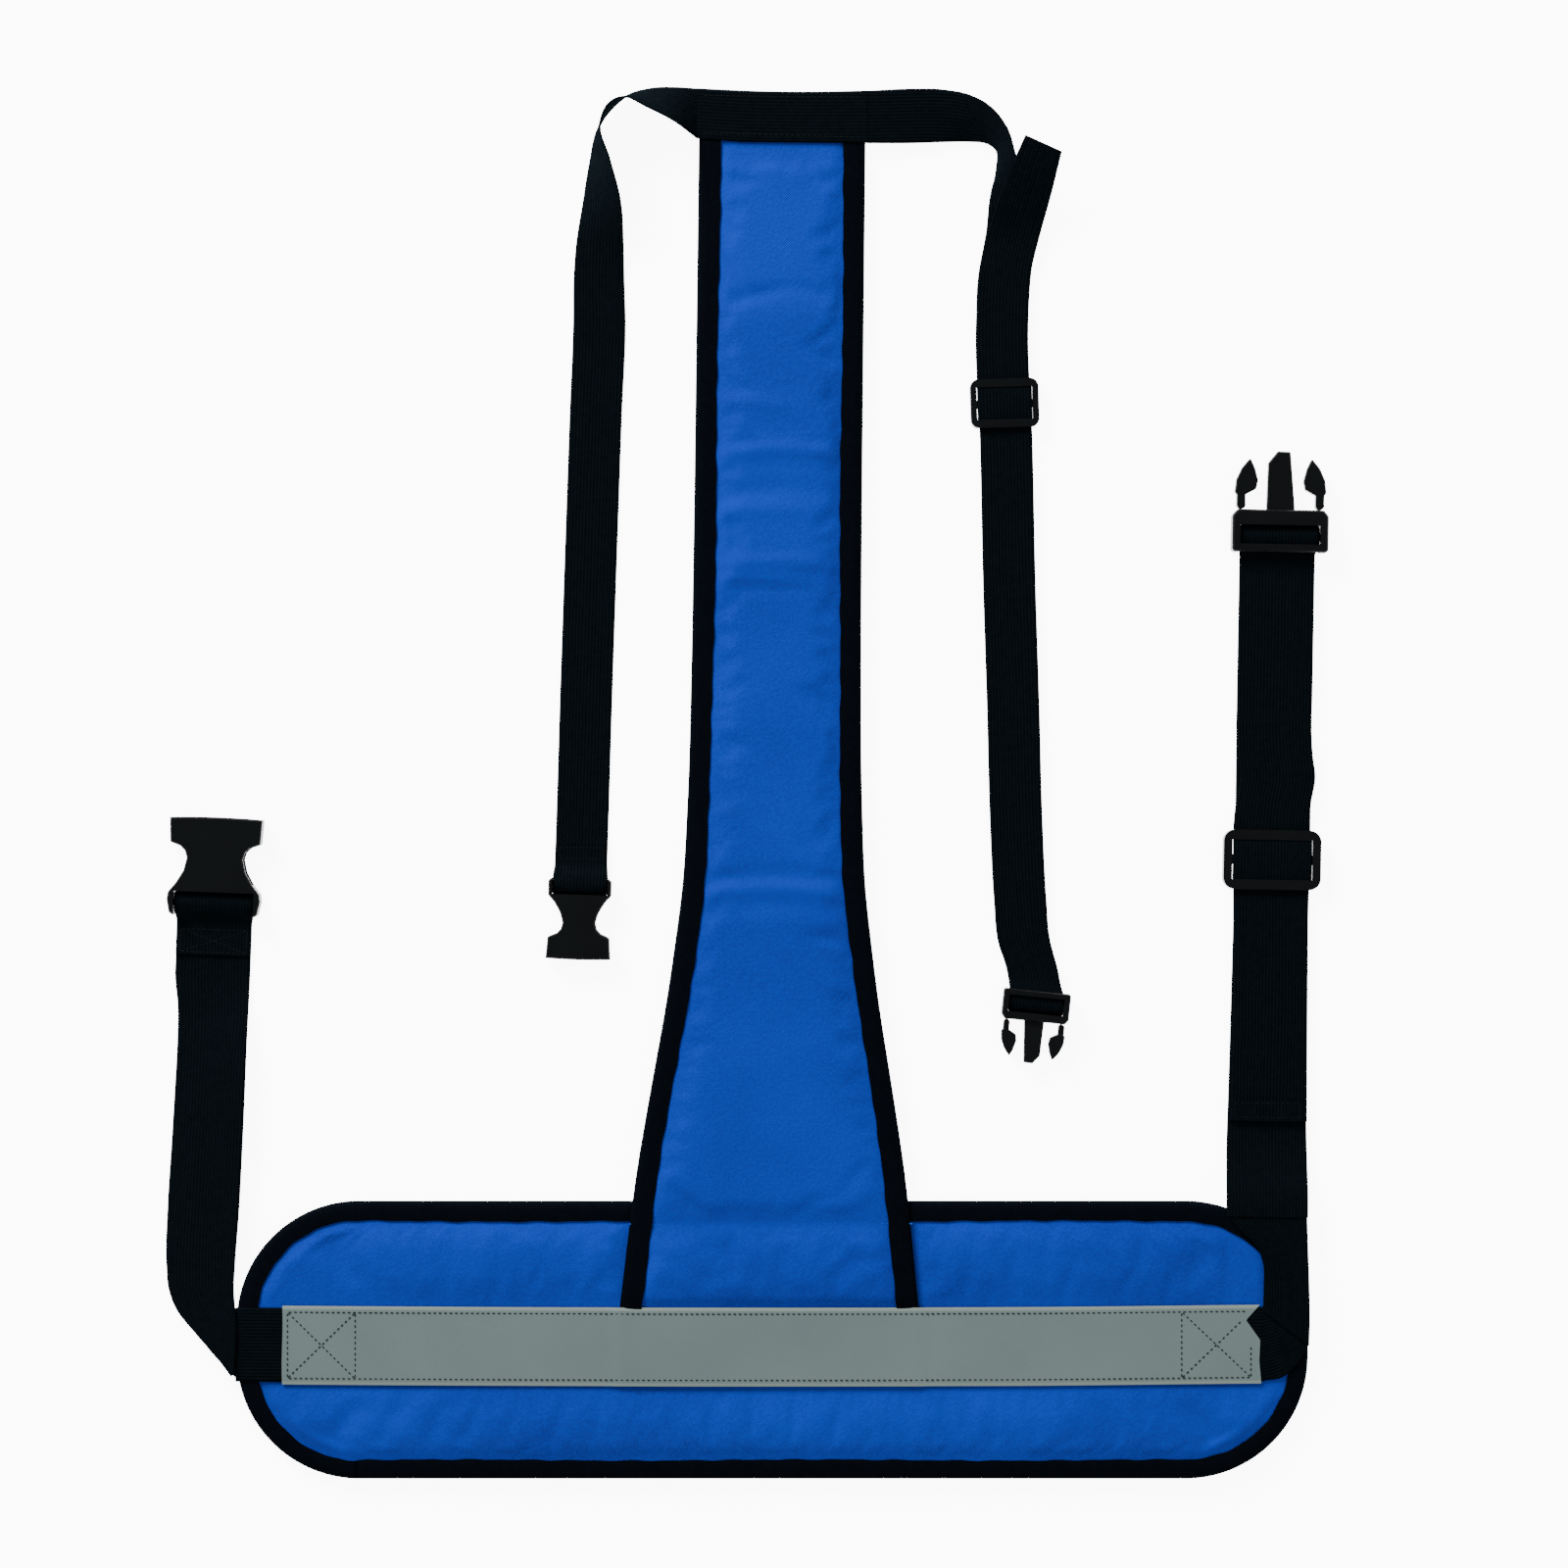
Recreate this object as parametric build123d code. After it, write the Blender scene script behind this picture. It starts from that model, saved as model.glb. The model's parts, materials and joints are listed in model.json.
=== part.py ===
from build123d import *
import os
from math import atan2, cos, degrees, radians, sin

# Padded body harness, laid out flat on its back. Millimetres, +Z up.
# Origin: middle of the waist pad's back face. +Y runs up the stem towards the neck strap.

# ---- driving dimensions ----
PAD_LENGTH = 682
PAD_WIDTH = 177
PAD_CORNER = 78
PAD_THICK = 8.6
COVER = 0.7                 # covering cloth
FLANGE = 0.8                # binding tape, one thickness
BINDING_WIDTH = 12.5

STEM_THICK = 7.0
STEM_BINDING = 13.8
STEM_TOP_Y = 789
STEM_SEAM_Y = 91            # where the stem leaves the pad
STEM_END_Y = -24            # lower end, tucked under the waist webbing
TONGUE_THICK = 4.0
TUCK_THICK = 0.8
STEM_STATIONS = ((20, 95), (104, 86), (216, 67.2), (291, 57.5), (366, 54.7), (541, 53.4), (800, 53))
STEM_LEAN = 0.0112          # sideways drift of the stem's middle per mm of height
STEM_FOOT_X = -2.2

WEB = 1.4                   # webbing thickness
WAIST_WEB = 48
NECK_WEB = 33.5
TAPE_HEIGHT = 50
TAPE_THICK = 0.5
TAPE_LEFT_X = -312
TAPE_RIGHT_X = 310
TAPE_Y = -3.4               # middle of the webbing and of the tape
RUN_Z = 2.2                 # underside of a strap that a slider rides on
GAP = 0.3                   # play between separate moving pieces
JOINT_GAP = 0.6             # from a fold line to the cloth on each side of it

PAD_TOP = PAD_THICK
TONGUE_TOP = PAD_TOP + TONGUE_THICK
WEB_LEVEL = PAD_TOP + TUCK_THICK

# Side-release buckles, measured from the webbing bar. Each outline is the right half, strap end first.
WAIST_SOCKET_OUTLINE = ((24.7, -8.5), (28, -6.5), (29.7, 2), (29, 6.6), (24, 12.9), (19.7, 20.4),
                        (17.8, 28.5), (19.1, 32.9), (22.2, 36), (28.6, 38.2), (29.4, 54))
NECK_SOCKET_OUTLINE = ((18, -3.2), (20, -1.5), (20, 7.6), (15.6, 12.7), (12, 19), (10.3, 25),
                       (11.2, 29), (14, 32), (19.6, 34.4), (20.5, 48))
WAIST_BUCKLE = {"kx": 1.0, "ky": 1.0, "thick": 12.0, "bar": 2.2, "slot": 51.0, "wall": 1.8,
                "outline": WAIST_SOCKET_OUTLINE, "cavity": (26.8, 12.5), "bow": 0.8}
NECK_BUCKLE = {"kx": 0.7, "ky": 0.72, "thick": 10.6, "bar": 1.9, "slot": 35.2, "wall": 1.5,
               "outline": NECK_SOCKET_OUTLINE, "cavity": (18.3, 12), "bow": 0.6}
ARM_PLAY = 0.3
SLOT_DEPTH = 7.2            # from the bar's axis to the slot's far wall
FRAME_FOOT = -9.9           # strap end of a plug's frame
FRAME_BAR = 5.0             # width of the frame's bar over the webbing

WAIST_SLIDER = {"length": 38, "width": 62, "window": 51, "bar": 6.4, "corner": 7.5}
NECK_SLIDER = {"length": 31, "width": 43.5, "window": 35.4, "bar": 5.2, "corner": 5.5}
SLIDER_BAR_Z = RUN_Z - GAP
SLIDER_LOW_TOP = RUN_Z + 2 * WEB + GAP
SLIDER_TOP = SLIDER_LOW_TOP + 2.6

# Straight runs: place of the buckle's bar, and the lean of the strap, in degrees.
LEFT_WAIST_BAR = (-355, 277.8)
LEFT_WAIST_LEAN = -2.2
RIGHT_WAIST_BAR = (321.7, 511)
RIGHT_WAIST_LEAN = -1.03
RIGHT_WAIST_FOLD_Y = 90
PLUG_SHIFT = 1.0
WAIST_SLIDER_Y = -205.5       # from the plug's bar
LEFT_NECK_BAR = (-122.2, 290.6)
LEFT_NECK_LEAN = -1.7
LEFT_NECK_RUN = 396
RIGHT_NECK_BAR = (168, 215)
RIGHT_NECK_PLUG_TURN = -6
RIGHT_NECK_BEND = (153, 706)
RIGHT_NECK_TOP = (146.2, 647.5)
RIGHT_NECK_LOW = (158.1, 272.5)
NECK_SLIDER_DOWN = 51.5     # from the top of the straight run
LAYER_GAP = 0.05            # between two layers of webbing that aren't sewn together
LOOP_PLAY = 0.5             # round a buckle's bar
WAIST_LAP = 19              # sewn-down strap ends
NECK_LAP = 10
LOOP_REACH = 14.0           # from a buckle bar's axis to where its two layers of webbing close up

os.makedirs("parts", exist_ok=True)


# ---- helpers ----
def plate(face, bottom, top):
    """Flat face on the XY plane, made into a slab between two heights."""
    return Pos(0, 0, bottom) * extrude(face, top - bottom)


def outline(points):
    return make_face(Polyline(*points, close=True))


def mirrored(points):
    """Right-hand half of a symmetric outline, lowest point first, closed through the left half."""
    return outline(list(points) + [(-x, y) for x, y in reversed(points)])


def box(x0, x1, y0, y1, z0, z1):
    return Pos((x0 + x1) / 2, (y0 + y1) / 2, (z0 + z1) / 2) * Box(x1 - x0, y1 - y0, z1 - z0)


def side_profile(points, width):
    """Outline given as (y, z) points, made into a strap of this width, centred on X = 0."""
    face = make_face(Polyline(*[(0, y, z) for y, z in points], close=True))
    return extrude(face, width / 2, dir=(1, 0, 0), both=True)


def front_profile(points, y0, y1):
    """Outline given as (x, z) points, made into a solid between two Y values."""
    face = make_face(Polyline(*[(x, y0, z) for x, z in points], close=True))
    return extrude(face, y1 - y0, dir=(0, 1, 0))


def place(x, y, turn):
    return Pos(x, y, 0) * Rot(0, 0, turn)


def straps_loft(stations):
    """Webbing through stations ((edge x, y, z), (other edge x, y, z)), as a ruled solid."""
    sections = []
    middles = [(Vector(*a) + Vector(*b)) * 0.5 for a, b in stations]
    last = len(stations) - 1
    for i, (a, b) in enumerate(stations):
        along = middles[min(i + 1, last)] - middles[max(i - 1, 0)]
        across = Vector(*b) - Vector(*a)
        normal = across.cross(along).normalized() * (WEB / 2)
        corners = [Vector(*a) + normal, Vector(*b) + normal, Vector(*b) - normal, Vector(*a) - normal]
        sections.append(make_face(Polyline(*corners, close=True)))
    solid = loft(sections[:2], ruled=True)
    for near, far in zip(sections[1:], sections[2:]):
        solid += loft([near, far], ruled=True)
    return solid


def loop_end(bar, turn, web, reach, height):
    """Both edges of the webbing at a distance from a bar, for a strap that comes from local -Y."""
    x, y = bar
    along = (sin(radians(turn)), -cos(radians(turn)))
    middle = (x + reach * along[0], y + reach * along[1])
    side = (-along[1] * web / 2, along[0] * web / 2)
    left = (middle[0] - side[0], middle[1] - side[1], height)
    right = (middle[0] + side[0], middle[1] + side[1], height)
    return left, right


def write(name, shape):
    export_step(shape, f"parts/{name}.step")


# ---- padded panels ----
def padded_panel(outer, cloth, opening, bottom, thick):
    """Foam between two cloth covers, with a binding folded round the edge.

    outer, cloth and opening are faces: the bound edge, the cloth's own edge just
    inside it, and the part that the binding leaves open."""
    top = bottom + thick
    joggle = bottom + FLANGE
    lift = top - FLANGE
    binding = plate(outer, bottom, top) - plate(cloth, joggle, lift) - plate(opening, bottom, top)
    back = plate(opening, bottom, joggle + COVER) + plate(cloth, joggle, joggle + COVER)
    front = plate(opening, lift - COVER, top) + plate(cloth, lift - COVER, lift)
    core = plate(cloth, joggle + COVER, lift - COVER)
    return back, core, front, binding


def rounded_rectangle(inset):
    return RectangleRounded(PAD_LENGTH - 2 * inset, PAD_WIDTH - 2 * inset, PAD_CORNER - inset)


def make_waist_pad():
    outer = rounded_rectangle(0)
    cloth = rounded_rectangle(FLANGE)
    opening = rounded_rectangle(BINDING_WIDTH)
    back, core, front, binding = padded_panel(outer, cloth, opening, 0, PAD_THICK)
    write("waist_pad_back_cover", back)
    write("waist_pad_core", core)
    write("waist_pad_front_cover", front)
    write("waist_pad_binding", binding)


def stem_middle(y):
    return STEM_FOOT_X + STEM_LEAN * y


def stem_face(inset, low, high):
    """Stem outline between two heights: nearly straight above, flaring towards the pad."""
    left_edge = Spline(*[(stem_middle(y) - half + inset, y) for y, half in STEM_STATIONS])
    right_edge = Spline(*[(stem_middle(y) + half - inset, y) for y, half in STEM_STATIONS])
    foot = Line(left_edge @ 0, right_edge @ 0)
    head = Line(left_edge @ 1, right_edge @ 1)
    whole = make_face([foot, right_edge, head, left_edge])
    width = 2 * STEM_STATIONS[0][1] + 40
    window = Pos(0, (low + high) / 2) * Rectangle(width, high - low)
    return whole & window


def make_stem():
    """The stem lies from the pad's top down to the floor at its far end."""
    low = STEM_SEAM_Y
    outer = stem_face(0, low, STEM_TOP_Y)
    cloth = stem_face(FLANGE, low, STEM_TOP_Y)
    opening = stem_face(STEM_BINDING, low, STEM_TOP_Y)
    back, core, front, bindings = padded_panel(outer, cloth, opening, 0, STEM_THICK)
    rise = TONGUE_TOP - STEM_THICK
    slope = degrees(atan2(rise, STEM_TOP_Y - low))
    lay = Pos(0, STEM_TOP_Y, 0) * Rot(-slope, 0, 0) * Pos(0, -STEM_TOP_Y, 0)
    write("stem_back_cover", lay * back)
    write("stem_core", lay * core)
    write("stem_front_cover", lay * front)
    left, right = (lay * bindings).solids().sort_by(Axis.X)
    write("stem_binding_left", left)
    write("stem_binding_right", right)
    across = outline([(-47.9, 761), (60.3, 761), (60.3, 794.5), (-47.9, 796)])
    neck = plate(across, STEM_THICK, STEM_THICK + WEB)
    write("neck_webbing", lay * neck)


def make_stem_tongue():
    """The stem's lower end, sewn on the pad's front, with a thin tuck under the webbing."""
    low = TAPE_Y + TAPE_HEIGHT / 2
    high = STEM_SEAM_Y - 2 * JOINT_GAP - 0.5
    outer = stem_face(0, low, high)
    cloth = stem_face(FLANGE, low, high)
    opening = stem_face(STEM_BINDING, low, high)
    body = plate(opening, PAD_TOP, TONGUE_TOP) + plate(cloth, PAD_TOP + FLANGE, TONGUE_TOP - FLANGE)
    bindings = plate(outer, PAD_TOP, TONGUE_TOP) - body
    tuck_half = STEM_STATIONS[0][1] - STEM_BINDING - 1
    tuck = box(STEM_FOOT_X - tuck_half, STEM_FOOT_X + tuck_half, STEM_END_Y, low + 1, PAD_TOP, WEB_LEVEL)
    write("stem_tongue", body + tuck)
    left, right = bindings.solids().sort_by(Axis.X)
    write("stem_tongue_binding_left", left)
    write("stem_tongue_binding_right", right)


# ---- flat webbing ----
def raised_strip(x0, x1, height, bottom, thick):
    """Strip across the pad that steps up over the stem's tucked end."""
    low = bottom - TUCK_THICK
    ramp = 6
    left = STEM_FOOT_X - STEM_STATIONS[0][1]
    right = STEM_FOOT_X + STEM_STATIONS[0][1]
    under = [(x0, low), (left - ramp, low), (left, bottom), (right, bottom), (right + ramp, low), (x1, low)]
    over = [(x, z + thick) for x, z in reversed(under)]
    return front_profile(under + over, TAPE_Y - height / 2, TAPE_Y + height / 2)


def make_waist_webbing():
    edge = PAD_LENGTH / 2
    write("waist_webbing", raised_strip(-edge, TAPE_RIGHT_X, WAIST_WEB, WEB_LEVEL, WEB))
    tape = raised_strip(TAPE_LEFT_X, TAPE_RIGHT_X, TAPE_HEIGHT, WEB_LEVEL + WEB, TAPE_THICK)
    write("reflective_tape", tape)


def make_right_waist_corner():
    """Pleated turn of the webbing on the pad's right end, two thicknesses deep."""
    top = PAD_WIDTH / 2
    turn = outline([(287, top), (341, top), (341.5, -2), (333, -15), (323, -24), (311, -25), (311, 50)])
    write("waist_strap_right_corner", plate(turn, PAD_TOP, PAD_TOP + 2 * WEB))


def make_left_waist_fold():
    """Webbing leaves the pad's left edge, slopes to the floor and folds over on the diagonal."""
    near = -PAD_LENGTH / 2 - JOINT_GAP
    far = -386
    low_y = TAPE_Y - WAIST_WEB / 2
    high_y = TAPE_Y + WAIST_WEB / 2
    fold_y = 44.4
    slope = [(near, PAD_TOP), (near, PAD_TOP + WEB), (far, WEB), (far, 0)]
    under = front_profile(slope, low_y, high_y)
    under = under & plate(outline([(near, low_y + 7), (near, high_y), (far + 7, high_y)]), -5, 20)
    over = front_profile([(x, z + WEB) for x, z in slope], low_y, fold_y)
    trim = outline([(near, low_y + 7), (near, fold_y), (far, fold_y), (far + 7, high_y)])
    over = over & plate(trim, -5, 20)
    write("waist_strap_left_fold", under + over)


def make_left_waist_strap():
    """Free strap: its inner edge stands off the floor at first, then it lies flat at the buckle."""
    reach = LOOP_REACH + WAIST_LAP + JOINT_GAP
    end = loop_end(LEFT_WAIST_BAR, LEFT_WAIST_LEAN, WAIST_WEB, reach, WEB / 2)
    stations = [
        ((-386, 45.6, 2.2), (-342, 45.6, 9.6)),
        ((-383.5, 120, 0.9), (-336.5, 120, 10)),
        ((-379.5, 185, 0.9), (-335, 185, 13)),
        end,
    ]
    write("waist_strap_left", straps_loft(stations))


# ---- webbing loops round the buckle bars ----
def bar_loop(web, buckle, low_z, high_z, lap):
    """Webbing turned round a bar at the origin, coming from -Y; lap is the sewn-down end's length."""
    inner = buckle["bar"] + LOOP_PLAY
    outer = inner + WEB
    bar_z = buckle["thick"] / 2
    reach = -LOOP_REACH
    over = high_z + LAYER_GAP
    low_leg = [(0, bar_z - outer), (reach, low_z), (reach - lap, low_z)]
    low_leg += [(reach - lap, low_z + WEB), (reach, low_z + WEB), (0, bar_z - inner)]
    high_leg = [(0, bar_z + inner), (reach, over), (reach - lap, over)]
    high_leg += [(reach - lap, over + WEB), (reach, over + WEB), (0, bar_z + outer)]
    if lap == 0:
        del low_leg[2:4]
        del high_leg[2:4]
    edges = [
        Polyline(*[(0, y, z) for y, z in low_leg]),
        ThreePointArc((0, 0, bar_z - inner), (0, inner, bar_z), (0, 0, bar_z + inner)),
        Polyline(*[(0, y, z) for y, z in high_leg]),
        ThreePointArc((0, 0, bar_z + outer), (0, outer, bar_z), (0, 0, bar_z - outer)),
    ]
    return extrude(make_face(edges), web / 2, dir=(1, 0, 0), both=True)


# ---- side-release buckles, bar axis at the origin, mouth or prongs towards +Y ----
def web_bar(buckle):
    """Round bar that the webbing turns round."""
    return Pos(0, 0, buckle["thick"] / 2) * Rot(0, 90, 0) * Cylinder(buckle["bar"], buckle["slot"] + 2)


def socket(buckle):
    """Female half: a flat shell, open at the mouth, with windows for the plug's arms."""
    thick = buckle["thick"]
    wall = buckle["wall"]
    half_slot = buckle["slot"] / 2
    half_cavity, depth = buckle["cavity"]
    outline_points = buckle["outline"]
    left = [(-x, y) for x, y in outline_points]
    mouth_y = outline_points[-1][1]
    crown = (0, mouth_y + buckle["bow"])
    edges = [
        Polyline(*outline_points),
        ThreePointArc(outline_points[-1], crown, left[-1]),
        Polyline(*reversed(left)),
        Line(left[0], outline_points[0]),
    ]
    face = make_face(edges)
    corners = [v for v in face.vertices() if abs(v.Y - mouth_y) > 1]
    face = fillet(corners, 1.4)
    body = extrude(face, thick)
    body = chamfer(body.faces().filter_by(Axis.Z).edges(), 0.8)
    cavity = box(-half_cavity, half_cavity, depth, mouth_y + 3, wall, thick - wall)
    slot = box(-half_slot, half_slot, outline_points[0][1] - 1, SLOT_DEPTH, -1, thick + 1)
    return body - cavity - slot + web_bar(buckle)


def arm_pivot(buckle):
    """Root of the right arm, where it flexes."""
    root = 2.8 * buckle["kx"]
    return 25 * buckle["kx"], 16.9 * buckle["ky"] + root + ARM_PLAY, root


def plug(buckle):
    """Male half's body: a frame round the webbing's bar, and the centre prong."""
    kx = buckle["kx"]
    ky = buckle["ky"]
    thick = buckle["thick"]
    half_slot = buckle["slot"] / 2
    foot = FRAME_FOOT * ky
    shoulder = 16.9 * ky
    face = mirrored([(30.6 * kx, foot), (30.6 * kx, 13 * ky), (27.5 * kx, shoulder)])
    face = fillet(face.vertices(), 2.2 * kx)
    body = extrude(face, thick)
    body = chamfer(body.faces().filter_by(Axis.Z).edges(), 1.0 * kx)
    bar_low = thick / 2 + buckle["bar"] + LOOP_PLAY + WEB - 0.9
    bar_top = foot + FRAME_BAR * ky
    window = box(-half_slot, half_slot, bar_top, SLOT_DEPTH, -1, thick + 1)
    under = box(-half_slot, half_slot, foot - 1, bar_top, -1, bar_low)
    prong_points = [(-8.7, 12), (9, 12), (9, 19), (5.9, 54), (-2.2, 54.2), (-8.1, 46.8), (-8.7, 19)]
    prong_face = outline([(x * kx, y * ky) for x, y in prong_points])
    prong_face = fillet([v for v in prong_face.vertices() if v.Y > 40 * ky], 1.0 * kx)
    inset = thick * 0.22
    prong = plate(prong_face, inset, thick - inset)
    tip = prong.edges().filter_by(Plane.XY).filter_by(lambda e: e.center().Y > 18 * ky)
    prong = chamfer(tip, 0.9 * kx)
    return body - window - under + prong + web_bar(buckle)


def plug_arm(buckle):
    """Right arm: a slim stem with a barb, on a round root at its flexing point."""
    kx = buckle["kx"]
    ky = buckle["ky"]
    thick = buckle["thick"]
    pivot_x, pivot_y, root = arm_pivot(buckle)
    side = 2.8 * kx
    barb = [(27.8, 26.4), (29.1, 28), (28.2, 36), (24.8, 43.5), (19.6, 49.8), (16.6, 43.5), (14.5, 35.5),
            (15.6, 30), (22.3, 26.4)]
    points = [(x * kx, y * ky) for x, y in barb]
    points += [(pivot_x - side, pivot_y), (pivot_x + side, pivot_y)]
    face = outline(points)
    face = fillet([v for v in face.vertices() if v.Y > 25 * ky], 0.8 * kx)
    inset = thick * 0.24
    blade = plate(face, inset, thick - inset)
    rims = blade.edges().filter_by(Plane.XY).filter_by(lambda e: e.center().Y > 27 * ky)
    blade = chamfer(rims, 0.7 * kx)
    return blade + plate(Pos(pivot_x, pivot_y) * Circle(root), inset, thick - inset)


def slider(size):
    """Tri-glide: end bars above the webbing, centre bar below it, side rails joining them."""
    length = size["length"]
    width = size["width"]
    window = size["window"]
    bar = size["bar"]
    frame = RectangleRounded(width, length, size["corner"]) - Rectangle(window, length - 2 * bar)
    rails = frame - Rectangle(window, length + 2)
    centre = Rectangle(window + 4, bar)
    body = plate(frame, SLIDER_LOW_TOP, SLIDER_TOP) + plate(rails, 0, SLIDER_TOP)
    return body + plate(centre, 0, SLIDER_BAR_Z)


def write_buckle_plug(name, buckle, spot):
    write(f"{name}_plug", spot * plug(buckle))
    arm = plug_arm(buckle)
    write(f"{name}_plug_arm_right", spot * arm)
    write(f"{name}_plug_arm_left", spot * mirror(arm, Plane.YZ))


# ---- the four strap ends ----
def make_left_waist_end():
    spot = place(*LEFT_WAIST_BAR, LEFT_WAIST_LEAN)
    write("waist_strap_left_loop", spot * bar_loop(WAIST_WEB, WAIST_BUCKLE, 0, WEB, WAIST_LAP))
    write("waist_socket", spot * socket(WAIST_BUCKLE))


def make_right_waist_end():
    """Running layer from the pad, round the plug's bar and back through the slider as a tail."""
    bar_x, bar_y = RIGHT_WAIST_BAR
    spot = place(bar_x, bar_y, RIGHT_WAIST_LEAN)
    fold = (RIGHT_WAIST_FOLD_Y - bar_y) / cos(radians(RIGHT_WAIST_LEAN))
    top = RUN_Z + WEB
    reach = -LOOP_REACH - JOINT_GAP
    run = [(fold, PAD_TOP), (fold, PAD_TOP + WEB), (fold + 40, top), (reach, top), (reach, RUN_Z),
           (fold + 40, RUN_Z)]
    write("waist_strap_right", spot * side_profile(run, WAIST_WEB))
    tail = box(-WAIST_WEB / 2, WAIST_WEB / 2, fold + 48, reach, top, top + WEB)
    write("waist_strap_right_tail", spot * tail)
    write("waist_strap_right_loop", spot * bar_loop(WAIST_WEB, WAIST_BUCKLE, RUN_Z, top, 0))
    write("waist_slider", spot * Pos(0, WAIST_SLIDER_Y, 0) * slider(WAIST_SLIDER))
    write_buckle_plug("waist", WAIST_BUCKLE, spot * Pos(PLUG_SHIFT, 0, 0))


def make_left_neck_end():
    """Strap from the turn at the stem's top down to the socket, lying flat."""
    spot = place(*LEFT_NECK_BAR, LEFT_NECK_LEAN + 180)
    half = NECK_WEB / 2
    low_end = -LOOP_REACH - NECK_LAP - JOINT_GAP
    write("neck_strap_left", spot * box(-half, half, -LEFT_NECK_RUN, low_end, 0, WEB))
    write("neck_strap_left_loop", spot * bar_loop(NECK_WEB, NECK_BUCKLE, 0, WEB, NECK_LAP))
    write("neck_socket", spot * socket(NECK_BUCKLE))


def flat_run(ends, middles, bottom):
    """Flat webbing of the neck strap's width, from its two end corners along a list of points."""
    half = NECK_WEB / 2
    left = [(x - half, y) for x, y in middles]
    right = [(x + half, y) for x, y in reversed(middles)]
    first, second = ends
    return plate(outline([first[:2]] + left + right + [second[:2]]), bottom, bottom + WEB)


def make_right_neck_end():
    """Running layer down to the plug's bar, and back through the slider as a loose tail."""
    spot = place(*RIGHT_NECK_BAR, RIGHT_NECK_PLUG_TURN + 180)
    second, first = loop_end(RIGHT_NECK_BAR, RIGHT_NECK_PLUG_TURN + 180, NECK_WEB, LOOP_REACH + JOINT_GAP, 0)
    ends = (first, second)
    bend_x, bend_y = RIGHT_NECK_BEND
    route = [RIGHT_NECK_LOW, RIGHT_NECK_TOP, (bend_x, bend_y - JOINT_GAP)]
    top = RUN_Z + WEB
    half = NECK_WEB / 2
    write("neck_strap_right", flat_run(ends, route, RUN_Z))
    start_x, start_y = RIGHT_NECK_TOP
    rise = top + WEB / 2
    tail_end = straps_loft([
        ((start_x - half, start_y, rise), (start_x + half, start_y, rise)),
        ((138.3, 700, rise + 0.6), (171.8, 700, rise + 0.6)),
        ((147, 734, 16), (178, 728, 16)),
        ((159, 763, 31), (183, 752, 31)),
    ])
    write("neck_strap_right_tail", flat_run(ends, route[:-1], top) + tail_end)
    write("neck_strap_right_loop", spot * bar_loop(NECK_WEB, NECK_BUCKLE, RUN_Z, top, 0))
    run_turn = degrees(atan2(RIGHT_NECK_LOW[0] - start_x, start_y - RIGHT_NECK_LOW[1]))
    slider_spot = place(start_x, start_y, run_turn) * Pos(0, -NECK_SLIDER_DOWN, 0)
    write("neck_slider", slider_spot * slider(NECK_SLIDER))
    write_buckle_plug("neck", NECK_BUCKLE, spot)


# ---- neck strap's turns at the stem's top ----
def make_neck_turns():
    """Each end of the neck webbing turns down beside the stem, standing on one edge as it turns."""
    flat = STEM_THICK + WEB / 2
    floor = WEB / 2 + 0.1
    half = NECK_WEB / 2
    run_end = LEFT_NECK_RUN + JOINT_GAP
    run_right, run_left = loop_end(LEFT_NECK_BAR, LEFT_NECK_LEAN + 180, NECK_WEB, run_end, WEB / 2)
    left = [
        ((-48.5, 796, flat), (-48.5, 764, flat)),
        ((-63, 797, 4.5), (-63, 775, 25)),
        ((-80, 796.5, 2), (-80, 787, 33)),
        ((-95, 792, floor), (-96, 793, 34)),
        ((-105, 783, floor), (-107, 785, 34)),
        ((-110, 769, floor), (-111, 770, 34)),
        ((-117.5, 750, floor), (-105, 747, 31)),
        ((-122.5, 715, floor), (-98.5, 715, 20)),
        (run_left, run_right),
    ]
    write("neck_strap_left_turn", straps_loft(left))
    bend_x, bend_y = RIGHT_NECK_BEND
    run_level = RUN_Z + WEB / 2
    right = [
        ((61, 761, flat), (61, 794.5, flat)),
        ((89, 761.5, 5), (89, 796, 6.5)),
        ((109, 762.5, 2.5), (109, 795, 10)),
        ((125.5, 763, floor), (127, 789.5, 20)),
        ((136, 762, floor), (139, 781.5, 26)),
        ((143, 757, floor), (150, 768, 28)),
        ((142.5, 746, floor), (157, 750, 22)),
        ((139, 728, 1.4), (167, 728, 9)),
        ((bend_x - half, bend_y, run_level), (bend_x + half, bend_y, run_level)),
    ]
    write("neck_strap_right_turn", straps_loft(right))


make_waist_pad()
make_stem()
make_stem_tongue()
make_waist_webbing()
make_right_waist_corner()
make_left_waist_fold()
make_left_waist_strap()
make_left_waist_end()
make_right_waist_end()
make_left_neck_end()
make_right_neck_end()
make_neck_turns()
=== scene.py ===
# %% [markdown]
# # A padded body harness, laid flat
# A wide waist pad carries a padded stem, and black webbing runs from both to four buckle halves.
# The measured model is a fixed frame: every surface made here takes its place in it, in metres,
# and moves with one of its bodies. The shapes below are worked out in millimetres.

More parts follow.
